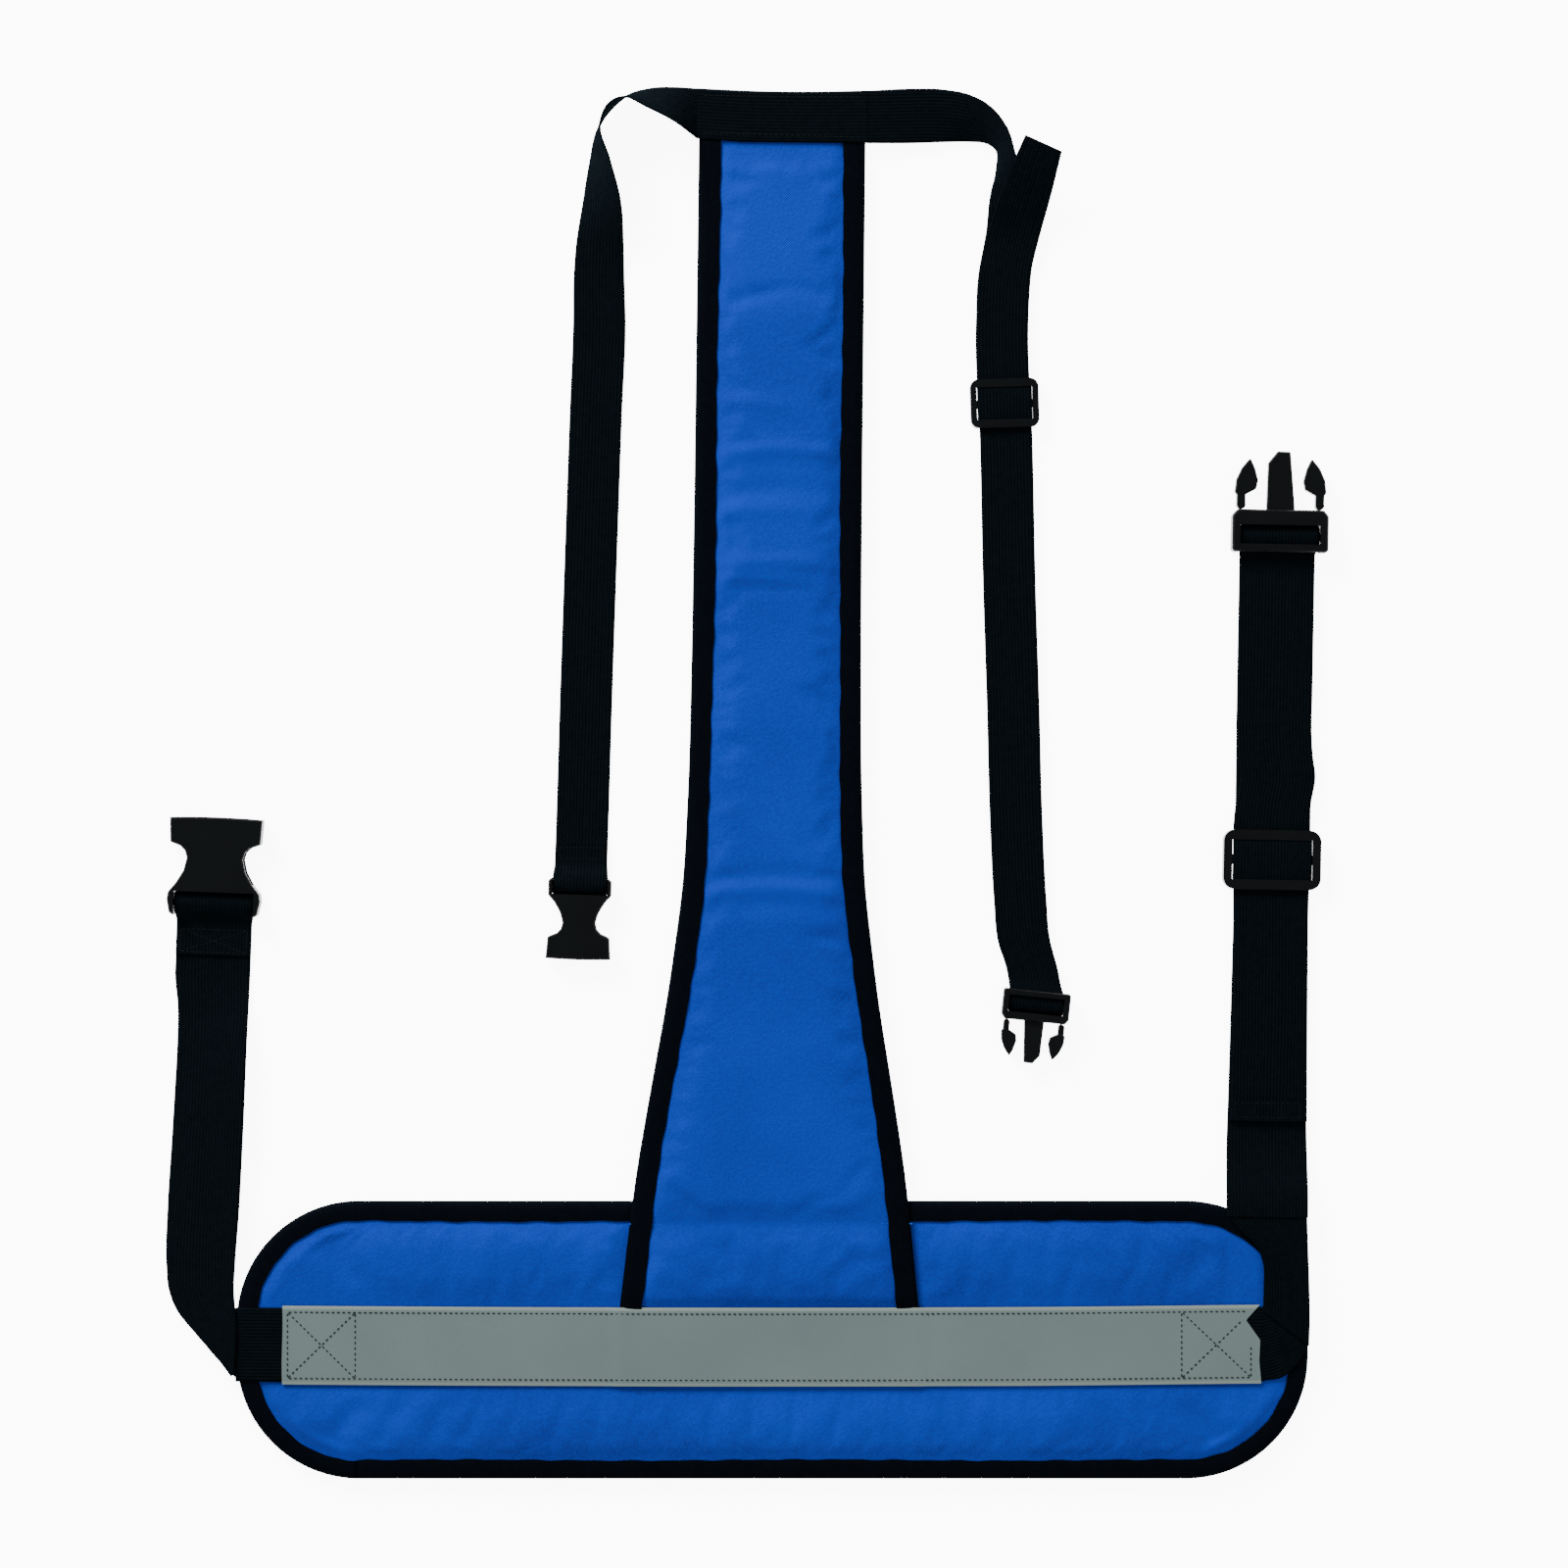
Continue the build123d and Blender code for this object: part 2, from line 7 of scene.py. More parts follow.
# %% Load the measured model
import json
import bpy
import numpy as np
from mathutils import Vector
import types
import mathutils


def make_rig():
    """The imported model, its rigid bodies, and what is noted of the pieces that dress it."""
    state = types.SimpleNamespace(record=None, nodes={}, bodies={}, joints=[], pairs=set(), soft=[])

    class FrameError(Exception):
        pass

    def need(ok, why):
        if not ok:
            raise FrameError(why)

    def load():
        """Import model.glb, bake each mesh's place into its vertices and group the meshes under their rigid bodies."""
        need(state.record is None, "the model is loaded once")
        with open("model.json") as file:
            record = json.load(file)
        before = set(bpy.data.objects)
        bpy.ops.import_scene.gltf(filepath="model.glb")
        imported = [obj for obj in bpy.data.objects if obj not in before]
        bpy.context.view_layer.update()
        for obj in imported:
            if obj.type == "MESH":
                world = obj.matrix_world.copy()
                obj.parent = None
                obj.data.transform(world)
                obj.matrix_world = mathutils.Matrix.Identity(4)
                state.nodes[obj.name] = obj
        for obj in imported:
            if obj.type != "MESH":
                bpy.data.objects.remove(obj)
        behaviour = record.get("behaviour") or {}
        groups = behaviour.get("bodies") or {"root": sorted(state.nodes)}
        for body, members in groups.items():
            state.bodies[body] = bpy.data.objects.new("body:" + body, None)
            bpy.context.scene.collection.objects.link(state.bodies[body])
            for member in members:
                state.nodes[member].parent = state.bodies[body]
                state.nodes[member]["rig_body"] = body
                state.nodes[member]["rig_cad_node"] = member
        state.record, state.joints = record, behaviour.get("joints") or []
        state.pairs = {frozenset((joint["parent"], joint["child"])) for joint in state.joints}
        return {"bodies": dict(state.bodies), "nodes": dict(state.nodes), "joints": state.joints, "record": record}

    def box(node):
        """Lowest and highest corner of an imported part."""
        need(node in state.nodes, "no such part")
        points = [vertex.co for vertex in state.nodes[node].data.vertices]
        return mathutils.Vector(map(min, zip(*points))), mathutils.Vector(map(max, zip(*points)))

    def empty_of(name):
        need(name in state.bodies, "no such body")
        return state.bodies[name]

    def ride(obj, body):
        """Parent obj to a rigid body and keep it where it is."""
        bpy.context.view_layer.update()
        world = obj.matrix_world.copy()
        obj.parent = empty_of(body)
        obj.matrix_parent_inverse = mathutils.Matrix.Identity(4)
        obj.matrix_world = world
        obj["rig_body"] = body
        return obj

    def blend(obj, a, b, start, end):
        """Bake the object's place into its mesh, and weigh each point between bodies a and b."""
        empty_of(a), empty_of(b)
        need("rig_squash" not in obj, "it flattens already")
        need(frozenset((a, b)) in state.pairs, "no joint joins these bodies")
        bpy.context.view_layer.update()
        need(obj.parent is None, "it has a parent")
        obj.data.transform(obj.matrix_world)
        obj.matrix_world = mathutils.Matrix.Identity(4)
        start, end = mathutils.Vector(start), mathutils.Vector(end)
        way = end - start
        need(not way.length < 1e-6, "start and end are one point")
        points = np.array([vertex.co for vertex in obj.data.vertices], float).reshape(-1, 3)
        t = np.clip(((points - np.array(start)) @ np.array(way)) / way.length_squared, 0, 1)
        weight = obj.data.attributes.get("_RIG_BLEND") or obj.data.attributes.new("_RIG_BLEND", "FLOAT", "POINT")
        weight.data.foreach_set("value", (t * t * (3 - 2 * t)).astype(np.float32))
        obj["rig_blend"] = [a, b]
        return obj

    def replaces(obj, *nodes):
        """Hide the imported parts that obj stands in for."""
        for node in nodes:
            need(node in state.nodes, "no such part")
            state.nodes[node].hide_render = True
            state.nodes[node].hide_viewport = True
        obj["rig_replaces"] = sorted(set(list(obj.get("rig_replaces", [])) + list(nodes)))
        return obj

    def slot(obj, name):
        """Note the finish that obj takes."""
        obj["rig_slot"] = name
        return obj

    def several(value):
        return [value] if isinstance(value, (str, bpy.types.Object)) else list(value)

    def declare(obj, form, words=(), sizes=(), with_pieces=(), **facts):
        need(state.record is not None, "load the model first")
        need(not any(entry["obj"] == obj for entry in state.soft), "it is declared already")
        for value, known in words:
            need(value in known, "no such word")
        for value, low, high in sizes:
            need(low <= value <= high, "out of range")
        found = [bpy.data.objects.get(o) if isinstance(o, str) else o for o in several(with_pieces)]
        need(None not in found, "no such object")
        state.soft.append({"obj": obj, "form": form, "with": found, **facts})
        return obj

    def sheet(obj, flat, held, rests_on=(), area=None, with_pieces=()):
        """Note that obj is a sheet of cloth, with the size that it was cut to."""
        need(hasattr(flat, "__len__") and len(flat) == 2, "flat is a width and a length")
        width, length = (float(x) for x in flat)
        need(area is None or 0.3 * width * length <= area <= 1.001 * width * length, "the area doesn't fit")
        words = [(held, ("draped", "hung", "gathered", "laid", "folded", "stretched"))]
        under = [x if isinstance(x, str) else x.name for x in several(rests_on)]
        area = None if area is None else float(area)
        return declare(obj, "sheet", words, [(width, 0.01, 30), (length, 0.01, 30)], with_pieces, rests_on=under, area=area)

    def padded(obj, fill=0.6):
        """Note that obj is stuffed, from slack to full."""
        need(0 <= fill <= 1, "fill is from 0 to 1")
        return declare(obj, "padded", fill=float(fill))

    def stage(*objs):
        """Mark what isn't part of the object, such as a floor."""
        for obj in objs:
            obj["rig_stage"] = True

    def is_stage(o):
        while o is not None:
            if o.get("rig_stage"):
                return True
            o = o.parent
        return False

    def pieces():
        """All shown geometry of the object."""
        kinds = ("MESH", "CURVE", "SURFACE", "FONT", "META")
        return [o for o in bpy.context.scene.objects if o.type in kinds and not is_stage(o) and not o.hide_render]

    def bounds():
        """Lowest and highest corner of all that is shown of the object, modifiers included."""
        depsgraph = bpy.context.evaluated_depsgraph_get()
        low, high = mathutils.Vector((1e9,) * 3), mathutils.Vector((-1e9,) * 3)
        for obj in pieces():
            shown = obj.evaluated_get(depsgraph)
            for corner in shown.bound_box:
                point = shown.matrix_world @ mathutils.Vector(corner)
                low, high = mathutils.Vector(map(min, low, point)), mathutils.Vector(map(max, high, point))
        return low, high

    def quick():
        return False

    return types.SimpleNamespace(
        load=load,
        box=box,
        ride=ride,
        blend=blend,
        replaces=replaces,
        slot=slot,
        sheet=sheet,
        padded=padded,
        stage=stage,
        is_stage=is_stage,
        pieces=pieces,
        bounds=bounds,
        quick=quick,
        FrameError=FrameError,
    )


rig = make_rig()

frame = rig.load()
cad_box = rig.bounds()
MM = 0.001
print("bodies:", len(frame["bodies"]), "model box, mm:", np.round(np.array(cad_box) / MM, 1).tolist())


# %% Corners of a part of the frame
def corners(node):
    """Lowest and highest corner of one part, in millimetres."""
    low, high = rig.box(node)
    return np.array(low) / MM, np.array(high) / MM


PAD_LOW, PAD_HIGH = corners("waist_pad_binding")
WEB_LOW, WEB_HIGH = corners("waist_webbing")
TAPE_LOW, TAPE_HIGH = corners("reflective_tape")
STEM_TOP_Y = corners("stem_binding_left")[1][1]
print("waist pad, mm:", np.round(PAD_HIGH - PAD_LOW, 1), "tape:", np.round(TAPE_HIGH - TAPE_LOW, 1))

# %% [markdown]
# ## Camera, floor and light
# The harness is seen from straight above. A long lens from far away keeps its outline true to
# scale. A pale sheet lies under it, lit by a bright sky and two wide lamps, so shadows stay faint.

# %% Camera, floor and light
VIEW_CENTRE = (0.0075, 0.35375)
CAMERA_HEIGHT = 2.4
SENSOR = 36
SKY_STRENGTH = 0.85
camera = bpy.data.objects.new("overhead", bpy.data.cameras.new("overhead"))
camera.data.sensor_width = SENSOR
camera.data.lens = SENSOR * CAMERA_HEIGHT
camera.location = (*VIEW_CENTRE, CAMERA_HEIGHT)
bpy.context.collection.objects.link(camera)
bpy.context.scene.camera = camera

world = bpy.data.worlds.new("white room")
world.use_nodes = True
sky = world.node_tree.nodes["Background"].inputs
sky["Color"].default_value = (1, 1, 1, 1)
sky["Strength"].default_value = SKY_STRENGTH
bpy.context.scene.world = world


def lamp(name, place, size, watts):
    """Square soft box that faces the middle of the harness."""
    data = bpy.data.lights.new(name, "AREA")
    data.size = size
    data.energy = watts
    item = bpy.data.objects.new(name, data)
    item.location = place
    away = Vector(place) - Vector((*VIEW_CENTRE, 0))
    item.rotation_euler = away.to_track_quat("Z", "Y").to_euler()
    bpy.context.collection.objects.link(item)


lamp("soft box", place=(-2.4, 3.85, 2.1), size=1.8, watts=845)
lamp("side box", place=(2.2, -0.9, 2.0), size=1.5, watts=50)
print("camera looks down from", CAMERA_HEIGHT, "m and sees one metre of floor")


# %% [markdown]
# ## Writing a finish as sums
# A material is a small calculation that runs at every point of a surface. One class wraps the
# output of a node, so that plus, minus and times add the Math nodes, and a second class holds the
# material and adds every other kind of node.

# %% Signals and finishes
class Signal:
    """An output of a node. Arithmetic on it adds Math nodes."""

    def __init__(self, tree, socket):
        self.tree = tree
        self.socket = socket

    def math(self, operation, *values):
        node = self.tree.nodes.new("ShaderNodeMath")
        node.operation = operation
        for socket, value in zip(node.inputs, values):
            if isinstance(value, Signal):
                self.tree.links.new(value.socket, socket)
            else:
                socket.default_value = value
        return Signal(self.tree, node.outputs[0])

    def __add__(self, other):
        return self.math("ADD", self, other)

    def __radd__(self, other):
        return self.math("ADD", other, self)

    def __sub__(self, other):
        return self.math("SUBTRACT", self, other)

    def __rsub__(self, other):
        return self.math("SUBTRACT", other, self)

    def __mul__(self, other):
        return self.math("MULTIPLY", self, other)

    def __rmul__(self, other):
        return self.math("MULTIPLY", other, self)

    def sine(self):
        return self.math("SINE", self)

    def size(self):
        return self.math("ABSOLUTE", self)

    def between(self, low, high):
        """0 below low, 1 above high, smooth from one to the other."""
        node = self.tree.nodes.new("ShaderNodeMapRange")
        node.interpolation_type = "SMOOTHSTEP"
        self.tree.links.new(self.socket, node.inputs["Value"])
        node.inputs["From Min"].default_value = low
        node.inputs["From Max"].default_value = high
        return Signal(self.tree, node.outputs[0])


def shade(red, green, blue):
    """A colour as a screen shows it, 0 to 255, turned into linear light."""
    value = np.array([red, green, blue]) / 255
    linear = np.where(value <= 0.04045, value / 12.92, ((value + 0.055) / 1.055) ** 2.4)
    return (*linear.tolist(), 1.0)


class Finish:
    """A material built round one Principled shader."""

    def __init__(self, name, roughness, **constants):
        self.material = bpy.data.materials.new(name)
        self.material.use_nodes = True
        self.tree = self.material.node_tree
        self.tree.nodes.clear()
        self.shader = self.tree.nodes.new("ShaderNodeBsdfPrincipled")
        end = self.tree.nodes.new("ShaderNodeOutputMaterial")
        self.tree.links.new(self.shader.outputs[0], end.inputs["Surface"])
        self.shader.inputs["Roughness"].default_value = roughness
        for socket, value in constants.items():
            self.shader.inputs[socket.replace("_", " ")].default_value = value

    def node(self, kind, output=0, settings=None, **inputs):
        """Any node but Math: its settings, then the values or links of its sockets."""
        node = self.tree.nodes.new(kind)
        for name, value in (settings or {}).items():
            setattr(node, name, value)
        for name, value in inputs.items():
            socket = node.inputs[int(name[1:]) if name[1:].isdigit() else name.replace("_", " ")]
            if isinstance(value, Signal):
                self.tree.links.new(value.socket, socket)
            else:
                socket.default_value = value
        return Signal(self.tree, node.outputs[output])

    def axes(self, kind):
        """X, Y and Z of the Object or UV coordinates."""
        place = self.node("ShaderNodeTexCoord", kind)
        split = self.tree.nodes.new("ShaderNodeSeparateXYZ")
        self.tree.links.new(place.socket, split.inputs[0])
        return [Signal(self.tree, socket) for socket in split.outputs]

    def cloudy(self, scale, detail=3.0):
        """Soft noise between 0 and 1, in object space."""
        place = self.node("ShaderNodeTexCoord", "Object")
        return self.node("ShaderNodeTexNoise", 0, Vector=place, Scale=scale, Detail=detail)

    def blended(self, first, second, amount):
        """Mix of two colours."""
        return self.node("ShaderNodeMix", 2, {"data_type": "RGBA"}, _0=amount, _6=first, _7=second)

    def feed(self, socket, signal):
        self.tree.links.new(signal.socket, self.shader.inputs[socket])

    def bump(self, height, distance):
        self.feed("Normal", self.node("ShaderNodeBump", Height=height, Distance=distance, Strength=1.0))


# %% [markdown]
# ## The finishes
# The covers are a tight woven polyester in royal blue. Straps and binding are black webbing: the
# straps show ribs along their length, crossed by fine weft. The tape is grey glass-bead reflective
# film with a paler rim, the buckles are moulded black acetal, and the threads are twisted.
# Weave on the pads reads object space, because the pads are reshaped by simulation. Webbing reads
# its own UV map, in metres along and across the strap, so that the ribs follow every turn.

# %% Blue cover cloth
TURN = 2 * np.pi
WEAVE_PITCH = 0.0016
TWIST_PITCH = 0.0009
TAPE_RIM = (0.0222, 0.0238)


def make_cover_cloth():
    """Two crossed sine waves make the weave; noise adds paler flecks and patches."""
    cloth = Finish("blue cover cloth", 0.78, Sheen_Weight=0.02, Sheen_Roughness=0.5,
                   Specular_IOR_Level=0.06)
    x, y = cloth.axes("Object")[:2]
    weave = (x * (TURN / WEAVE_PITCH)).sine() * (y * (TURN / WEAVE_PITCH)).sine()
    patches = cloth.cloudy(9.0, 5.0).between(0.35, 0.68)
    colour = cloth.blended(shade(6, 31, 110), shade(8, 37, 122), patches)
    flecks = cloth.cloudy(420.0, 2.0).between(0.3, 0.7)
    cloth.feed("Base Color", cloth.blended(colour, shade(11, 45, 136), flecks * 0.35))
    cloth.feed("Roughness", 0.72 + flecks * 0.14)
    cloth.bump(weave + flecks * 0.8, 0.00012)
    return cloth


cover_cloth = make_cover_cloth()


# %% Webbing and binding
def make_webbing(name, rib, weft, dark, light, depth):
    """Ribs along the strap, each crossed by slanting weft that changes side from rib to rib; the colour is random fuzz
    plus a painted highlight on the raised weave.
    """
    strap = Finish(name, 0.62, Specular_IOR_Level=0.0)
    along, across = strap.axes("UV")[:2]
    ribs = (across * (TURN / rib)).sine()
    slant = (across * (TURN / rib / 2)).sine() * 2.2
    crossing = (along * (TURN / weft) + slant).sine()
    height = ribs * 0.6 + crossing * 0.5
    fuzz = strap.cloudy(260.0, 2.0)
    # colour mask: random fuzz, plus a painted highlight that lightens the crests of ribs and weft
    fuzz_and_rib_highlight = (height * 0.35 + fuzz * 0.6).between(-0.3, 0.8)
    strap.feed("Base Color", strap.blended(dark, light, fuzz_and_rib_highlight))
    strap.feed("Roughness", 0.52 + fuzz * 0.2)
    strap.bump(height, depth)
    return strap


webbing_finish = make_webbing("black webbing", rib=0.0021, weft=0.0014, dark=shade(2, 4, 6),
                              light=shade(7, 11, 14), depth=0.00022)
binding_finish = make_webbing("black binding", rib=0.0012, weft=0.0010, dark=shade(2, 3, 6),
                              light=shade(6, 8, 12), depth=0.00014)


# %% Reflective tape
def make_tape_finish():
    """Paler beyond the rim distance from the middle, with bead noise and soft clouds."""
    tape = Finish("reflective tape", 0.5, Specular_IOR_Level=0.15)
    rim = tape.axes("UV")[1].size().between(*TAPE_RIM)
    clouds = tape.cloudy(16.0, 4.0)
    beads = tape.cloudy(900.0, 1.0)
    face = tape.blended(shade(72, 84, 84), shade(82, 94, 92), clouds)
    tape.feed("Base Color", tape.blended(face, shade(92, 102, 97), rim))
    tape.feed("Roughness", 0.44 + beads * 0.16)
    tape.feed("Metallic", 0.25 - rim * 0.2)
    tape.bump(beads + clouds * 2, 0.00006)
    return tape


tape_finish = make_tape_finish()


# %% Moulded plastic and thread
def make_plastic():
    """Near black, with slow flow marks and a fine moulded grain."""
    plastic = Finish("black acetal", 0.34, Specular_IOR_Level=0.06)
    grain = plastic.cloudy(1400.0, 2.0)
    flow = plastic.cloudy(40.0, 2.0)
    plastic.feed("Base Color", plastic.blended(shade(2, 3, 4), shade(5, 7, 8), flow))
    plastic.feed("Roughness", 0.3 + grain * 0.16)
    plastic.bump(grain, 0.00004)
    return plastic


def make_thread(name, dark, light):
    """A sine wave along the diagonal makes the twist; its crests get a painted highlight and its grooves painted
    shade.
    """
    thread = Finish(name, 0.6, Specular_IOR_Level=0.05)
    x, y = thread.axes("Object")[:2]
    twist = ((x + y) * (TURN / TWIST_PITCH)).sine()
    # painted highlight on the twist's crests and painted shade in its grooves, following the bump
    thread.feed("Base Color", thread.blended(dark, light, twist * 0.5 + 0.5))
    thread.bump(twist, 0.00008)
    return thread


plastic_finish = make_plastic()
dark_thread = make_thread("dark thread", shade(14, 18, 19), shade(30, 36, 37))
black_thread = make_thread("black thread", shade(3, 4, 6), shade(9, 11, 13))
blue_thread = make_thread("blue thread", shade(14, 48, 128), shade(24, 66, 150))
print("finishes:", [material.name for material in bpy.data.materials if material.use_nodes])


# %% [markdown]
# ## From formulas to meshes
# Every new surface is a grid of points, worked out as whole arrays. A strap is a thin closed
# section carried along two edge lines; a cover is a front sheet and a back sheet joined round
# their rim. Doing it with arrays keeps each shape one short formula.

# %% Grids and meshes
SHARP_ANGLE = np.radians(50)


def put(name, points, faces, finish, body=None, uv=None):
    """Mesh from points in millimetres; uv holds one pair of metres for each point."""
    mesh = bpy.data.meshes.new(name)
    mesh.from_pydata((np.asarray(points) * MM).tolist(), [], [list(map(int, face)) for face in faces])
    if uv is not None:
        layer = mesh.uv_layers.new(name="flat")
        corner = np.empty(len(mesh.loops), dtype=np.int32)
        mesh.loops.foreach_get("vertex_index", corner)
        layer.data.foreach_set("uv", np.asarray(uv, dtype=np.float32)[corner].ravel())
    mesh.polygons.foreach_set("use_smooth", np.ones(len(mesh.polygons), dtype=bool))
    mesh.set_sharp_from_angle(angle=SHARP_ANGLE)
    mesh.materials.append(finish.material)
    mesh.update()
    piece = bpy.data.objects.new(name, mesh)
    bpy.context.collection.objects.link(piece)
    if body:
        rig.ride(piece, body)
    return piece


def grid_faces(rows, columns, ring=False, loop=False):
    """Quads of a grid; ring joins the last column to the first, loop the last row to the first."""
    i, j = np.meshgrid(np.arange(rows - (not loop)), np.arange(columns - (not ring)), indexing="ij")
    i, j = i.ravel(), j.ravel()
    here, after = i * columns, (i + 1) % rows * columns
    next_j = (j + 1) % columns
    return np.stack([here + j, here + next_j, after + next_j, after + j], 1)


def tube_faces(rows, columns, inside_out=False):
    """Quads of a grid closed into a tube, and one face over each end."""
    faces = grid_faces(rows, columns, ring=True).tolist()
    faces += [list(range(columns))[::-1], list(range((rows - 1) * columns, rows * columns))]
    return [face[::-1] for face in faces] if inside_out else faces


def bend(piece, joint):
    """Bend a piece across a joint: (body, next body, start, end), the places in millimetres."""
    near, far, start, end = joint
    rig.blend(piece, near, far, start=tuple(np.array(start) * MM), end=tuple(np.array(end) * MM))


def put_sheet(name, mesh, finish, slot, flat, held, nodes=(), body=None, joint=None):
    """A flat-made piece: mesh is (points, faces, uv), flat its spread width and length in metres."""
    points, faces, uv = mesh
    piece = put(name, points, faces, finish, body, uv)
    if joint:
        bend(piece, joint)
    if nodes:
        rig.replaces(piece, *nodes)
    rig.slot(piece, slot)
    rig.sheet(piece, flat=flat, held=held)
    print(f"{name}: {flat[0] / MM:.0f} x {flat[1] / MM:.0f} mm")


def step(value, low, high):
    """0 below low, 1 above high, and a smooth cubic between."""
    share = np.clip((value - low) / (high - low), 0, 1)
    return share * share * (3 - 2 * share)


def unit(vectors):
    """Vectors divided by their lengths."""
    return vectors / np.linalg.norm(vectors, axis=-1, keepdims=True)


# %% Smooth lines
def lengths(line):
    """Distance of every point along a line, from its first point."""
    return np.r_[0, np.cumsum(np.linalg.norm(np.diff(line, axis=0), axis=1))]


def through(stations, count):
    """Smooth edges through stations: cubic pieces, each with its neighbours' slope, evenly spread.

    stations is an array (number, edges, 3); distance is measured along the middle of the edges."""
    stations = np.asarray(stations, float)
    middle = stations.mean(axis=1)
    reach = lengths(middle)
    slope = np.gradient(stations, reach, axis=0)
    at = np.linspace(0, reach[-1], count)
    k = np.clip(np.searchsorted(reach, at, side="right") - 1, 0, len(reach) - 2)
    span = (reach[k + 1] - reach[k])[:, None, None]
    t = (at - reach[k])[:, None, None] / span
    start, end = stations[k], stations[k + 1]
    leave, arrive = slope[k] * span, slope[k + 1] * span
    return ((2 * t**3 - 3 * t**2 + 1) * start + (t**3 - 2 * t**2 + t) * leave
            + (3 * t**2 - 2 * t**3) * end + (t**3 - t**2) * arrive)


# %% Webbing as a section carried along two edges
WEB = 1.4
CELLS = 6


def raised(pairs, height):
    """Pairs of (x, y) points, all given one height."""
    pairs = np.asarray(pairs, float)
    return np.concatenate([pairs, np.full(pairs.shape[:2] + (1,), height)], -1)


def ribbon(edges, thick):
    """Points, faces and uv of a strap, and its flat size.

    Each section runs from the left edge to the right edge, half a thickness above and below the
    line between them, with one more point at each rounded selvedge; both ends are closed."""
    edges = np.asarray(edges, float)
    left, right = edges[:, 0], edges[:, 1]
    across = right - left
    middle = (left + right) / 2
    normal = unit(np.cross(across, np.gradient(middle, axis=0)))
    width = np.linalg.norm(across, axis=1)
    round_off = thick / 2 / width.mean()
    inner = np.linspace(3 * round_off, 1 - 3 * round_off, CELLS + 1)
    top = np.r_[round_off, inner, 1 - round_off]
    share = np.r_[top, 1, top[::-1], 0]
    rise = np.r_[np.ones(len(top)), 0, -np.ones(len(top)), 0] * thick / 2
    points = left[:, None] + across[:, None] * share[None, :, None]
    points = points + normal[:, None] * rise[None, :, None]
    length = lengths(middle)
    u = np.broadcast_to(length[:, None], points.shape[:2])
    v = (share - 0.5)[None, :] * width[:, None]
    faces = tube_faces(*points.shape[:2])
    flat = (width.mean() * MM, length[-1] * MM)
    return (points.reshape(-1, 3), faces, np.stack([u, v], -1).reshape(-1, 2) * MM), flat


def webbing(name, edges, nodes, body=None, joint=None, held="laid", thick=WEB):
    """A strap that stands for some parts of the frame, on a body or bending across a joint."""
    mesh, flat = ribbon(edges, thick)
    put_sheet(name, mesh, webbing_finish, "webbing", flat, held, nodes, body, joint)


# %% Covers: a front and a back sheet joined round the rim
def closed_pair(front, back):
    """Points and faces of two grids of the same shape, joined by quads round their rims."""
    rows, columns = front.shape[:2]
    total = rows * columns
    index = np.arange(total).reshape(rows, columns)
    rim = np.r_[index[0, :-1], index[:-1, -1], index[-1, :0:-1], index[:0:-1, 0]]
    after = np.roll(rim, -1)
    face = grid_faces(rows, columns)
    sides = np.stack([rim + total, after + total, after, rim], 1)
    faces = np.concatenate([face, face[:, ::-1] + total, sides])
    return np.concatenate([front.reshape(-1, 3), back.reshape(-1, 3)]), faces


# %% Stitches
RINGS = 5
SPOKES = 6
TIP = 0.12


def stitch_rows(lines, pitch, size):
    """Low lens-shaped stitches along lines of points.

    Each lens is a grid of rings; a ring at angle a from one tip to the other has radius sin a."""
    long, wide, high = np.array(size) / 2
    tip = np.linspace(TIP, np.pi - TIP, RINGS)[:, None]
    turn = np.linspace(0, TURN, SPOKES, endpoint=False)[None, :]
    lens = np.stack([-long * np.cos(tip) + 0 * turn, wide * np.sin(tip) * np.cos(turn),
                     high * np.sin(tip) * np.sin(turn)], -1).reshape(-1, 3)
    lens_faces = tube_faces(RINGS, SPOKES, inside_out=True)
    points, faces = [], []
    for line in lines:
        line = np.asarray(line, float)
        reach = lengths(line)
        count = max(int(round(reach[-1] / pitch)), 1)
        at = (np.arange(count) + 0.5) * reach[-1] / count
        centre, ahead, behind = (
            np.stack([np.interp(at + shift, reach, line[:, axis]) for axis in range(3)], 1)
            for shift in (0, 0.5, -0.5))
        along = unit(ahead - behind)
        side = unit(np.cross([0, 0, 1.0], along))
        basis = np.stack([along, side, np.cross(along, side)], 1)
        starts = sum(map(len, points)) + len(lens) * np.arange(count)
        faces += [[vertex + start for vertex in face] for start in starts for face in lens_faces]
        points.append((centre[:, None] + np.einsum("pk,skx->spx", lens, basis)).reshape(-1, 3))
    return np.concatenate(points), faces


def thread(name, lines, finish, body, pitch, size, slot="webbing"):
    """Rows of stitches on a body; size is a stitch's length, width and height."""
    points, faces = stitch_rows(lines, pitch, size)
    piece = put(name, points, faces, finish, body)
    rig.slot(piece, slot)
    print(f"{name}: {len(points) // (RINGS * SPOKES)} stitches")


# %% [markdown]
# ## Padding by cloth simulation
# A padded cover could be pushed out with a formula, but real cloth swells as far as its stitching
# lets it, and wrinkles where it is held. So each cover starts nearly flat, pressure from inside
# blows it up for twenty frames while every sewn place is pinned, and the movement is capped.
# The grid is even enough to simulate as it is, so it needs no remesh.

# %% Swelling a cover
SWELL_FRAMES = 20
PIN_LEVELS = 8
SURPLUS = 0.012
CLOTH = {"quality": 6, "mass": 0.25, "tension_stiffness": 12, "compression_stiffness": 12,
         "shear_stiffness": 4, "bending_stiffness": 0.4, "vertex_group_mass": "held",
         "shrink_min": -SURPLUS, "use_pressure": True}


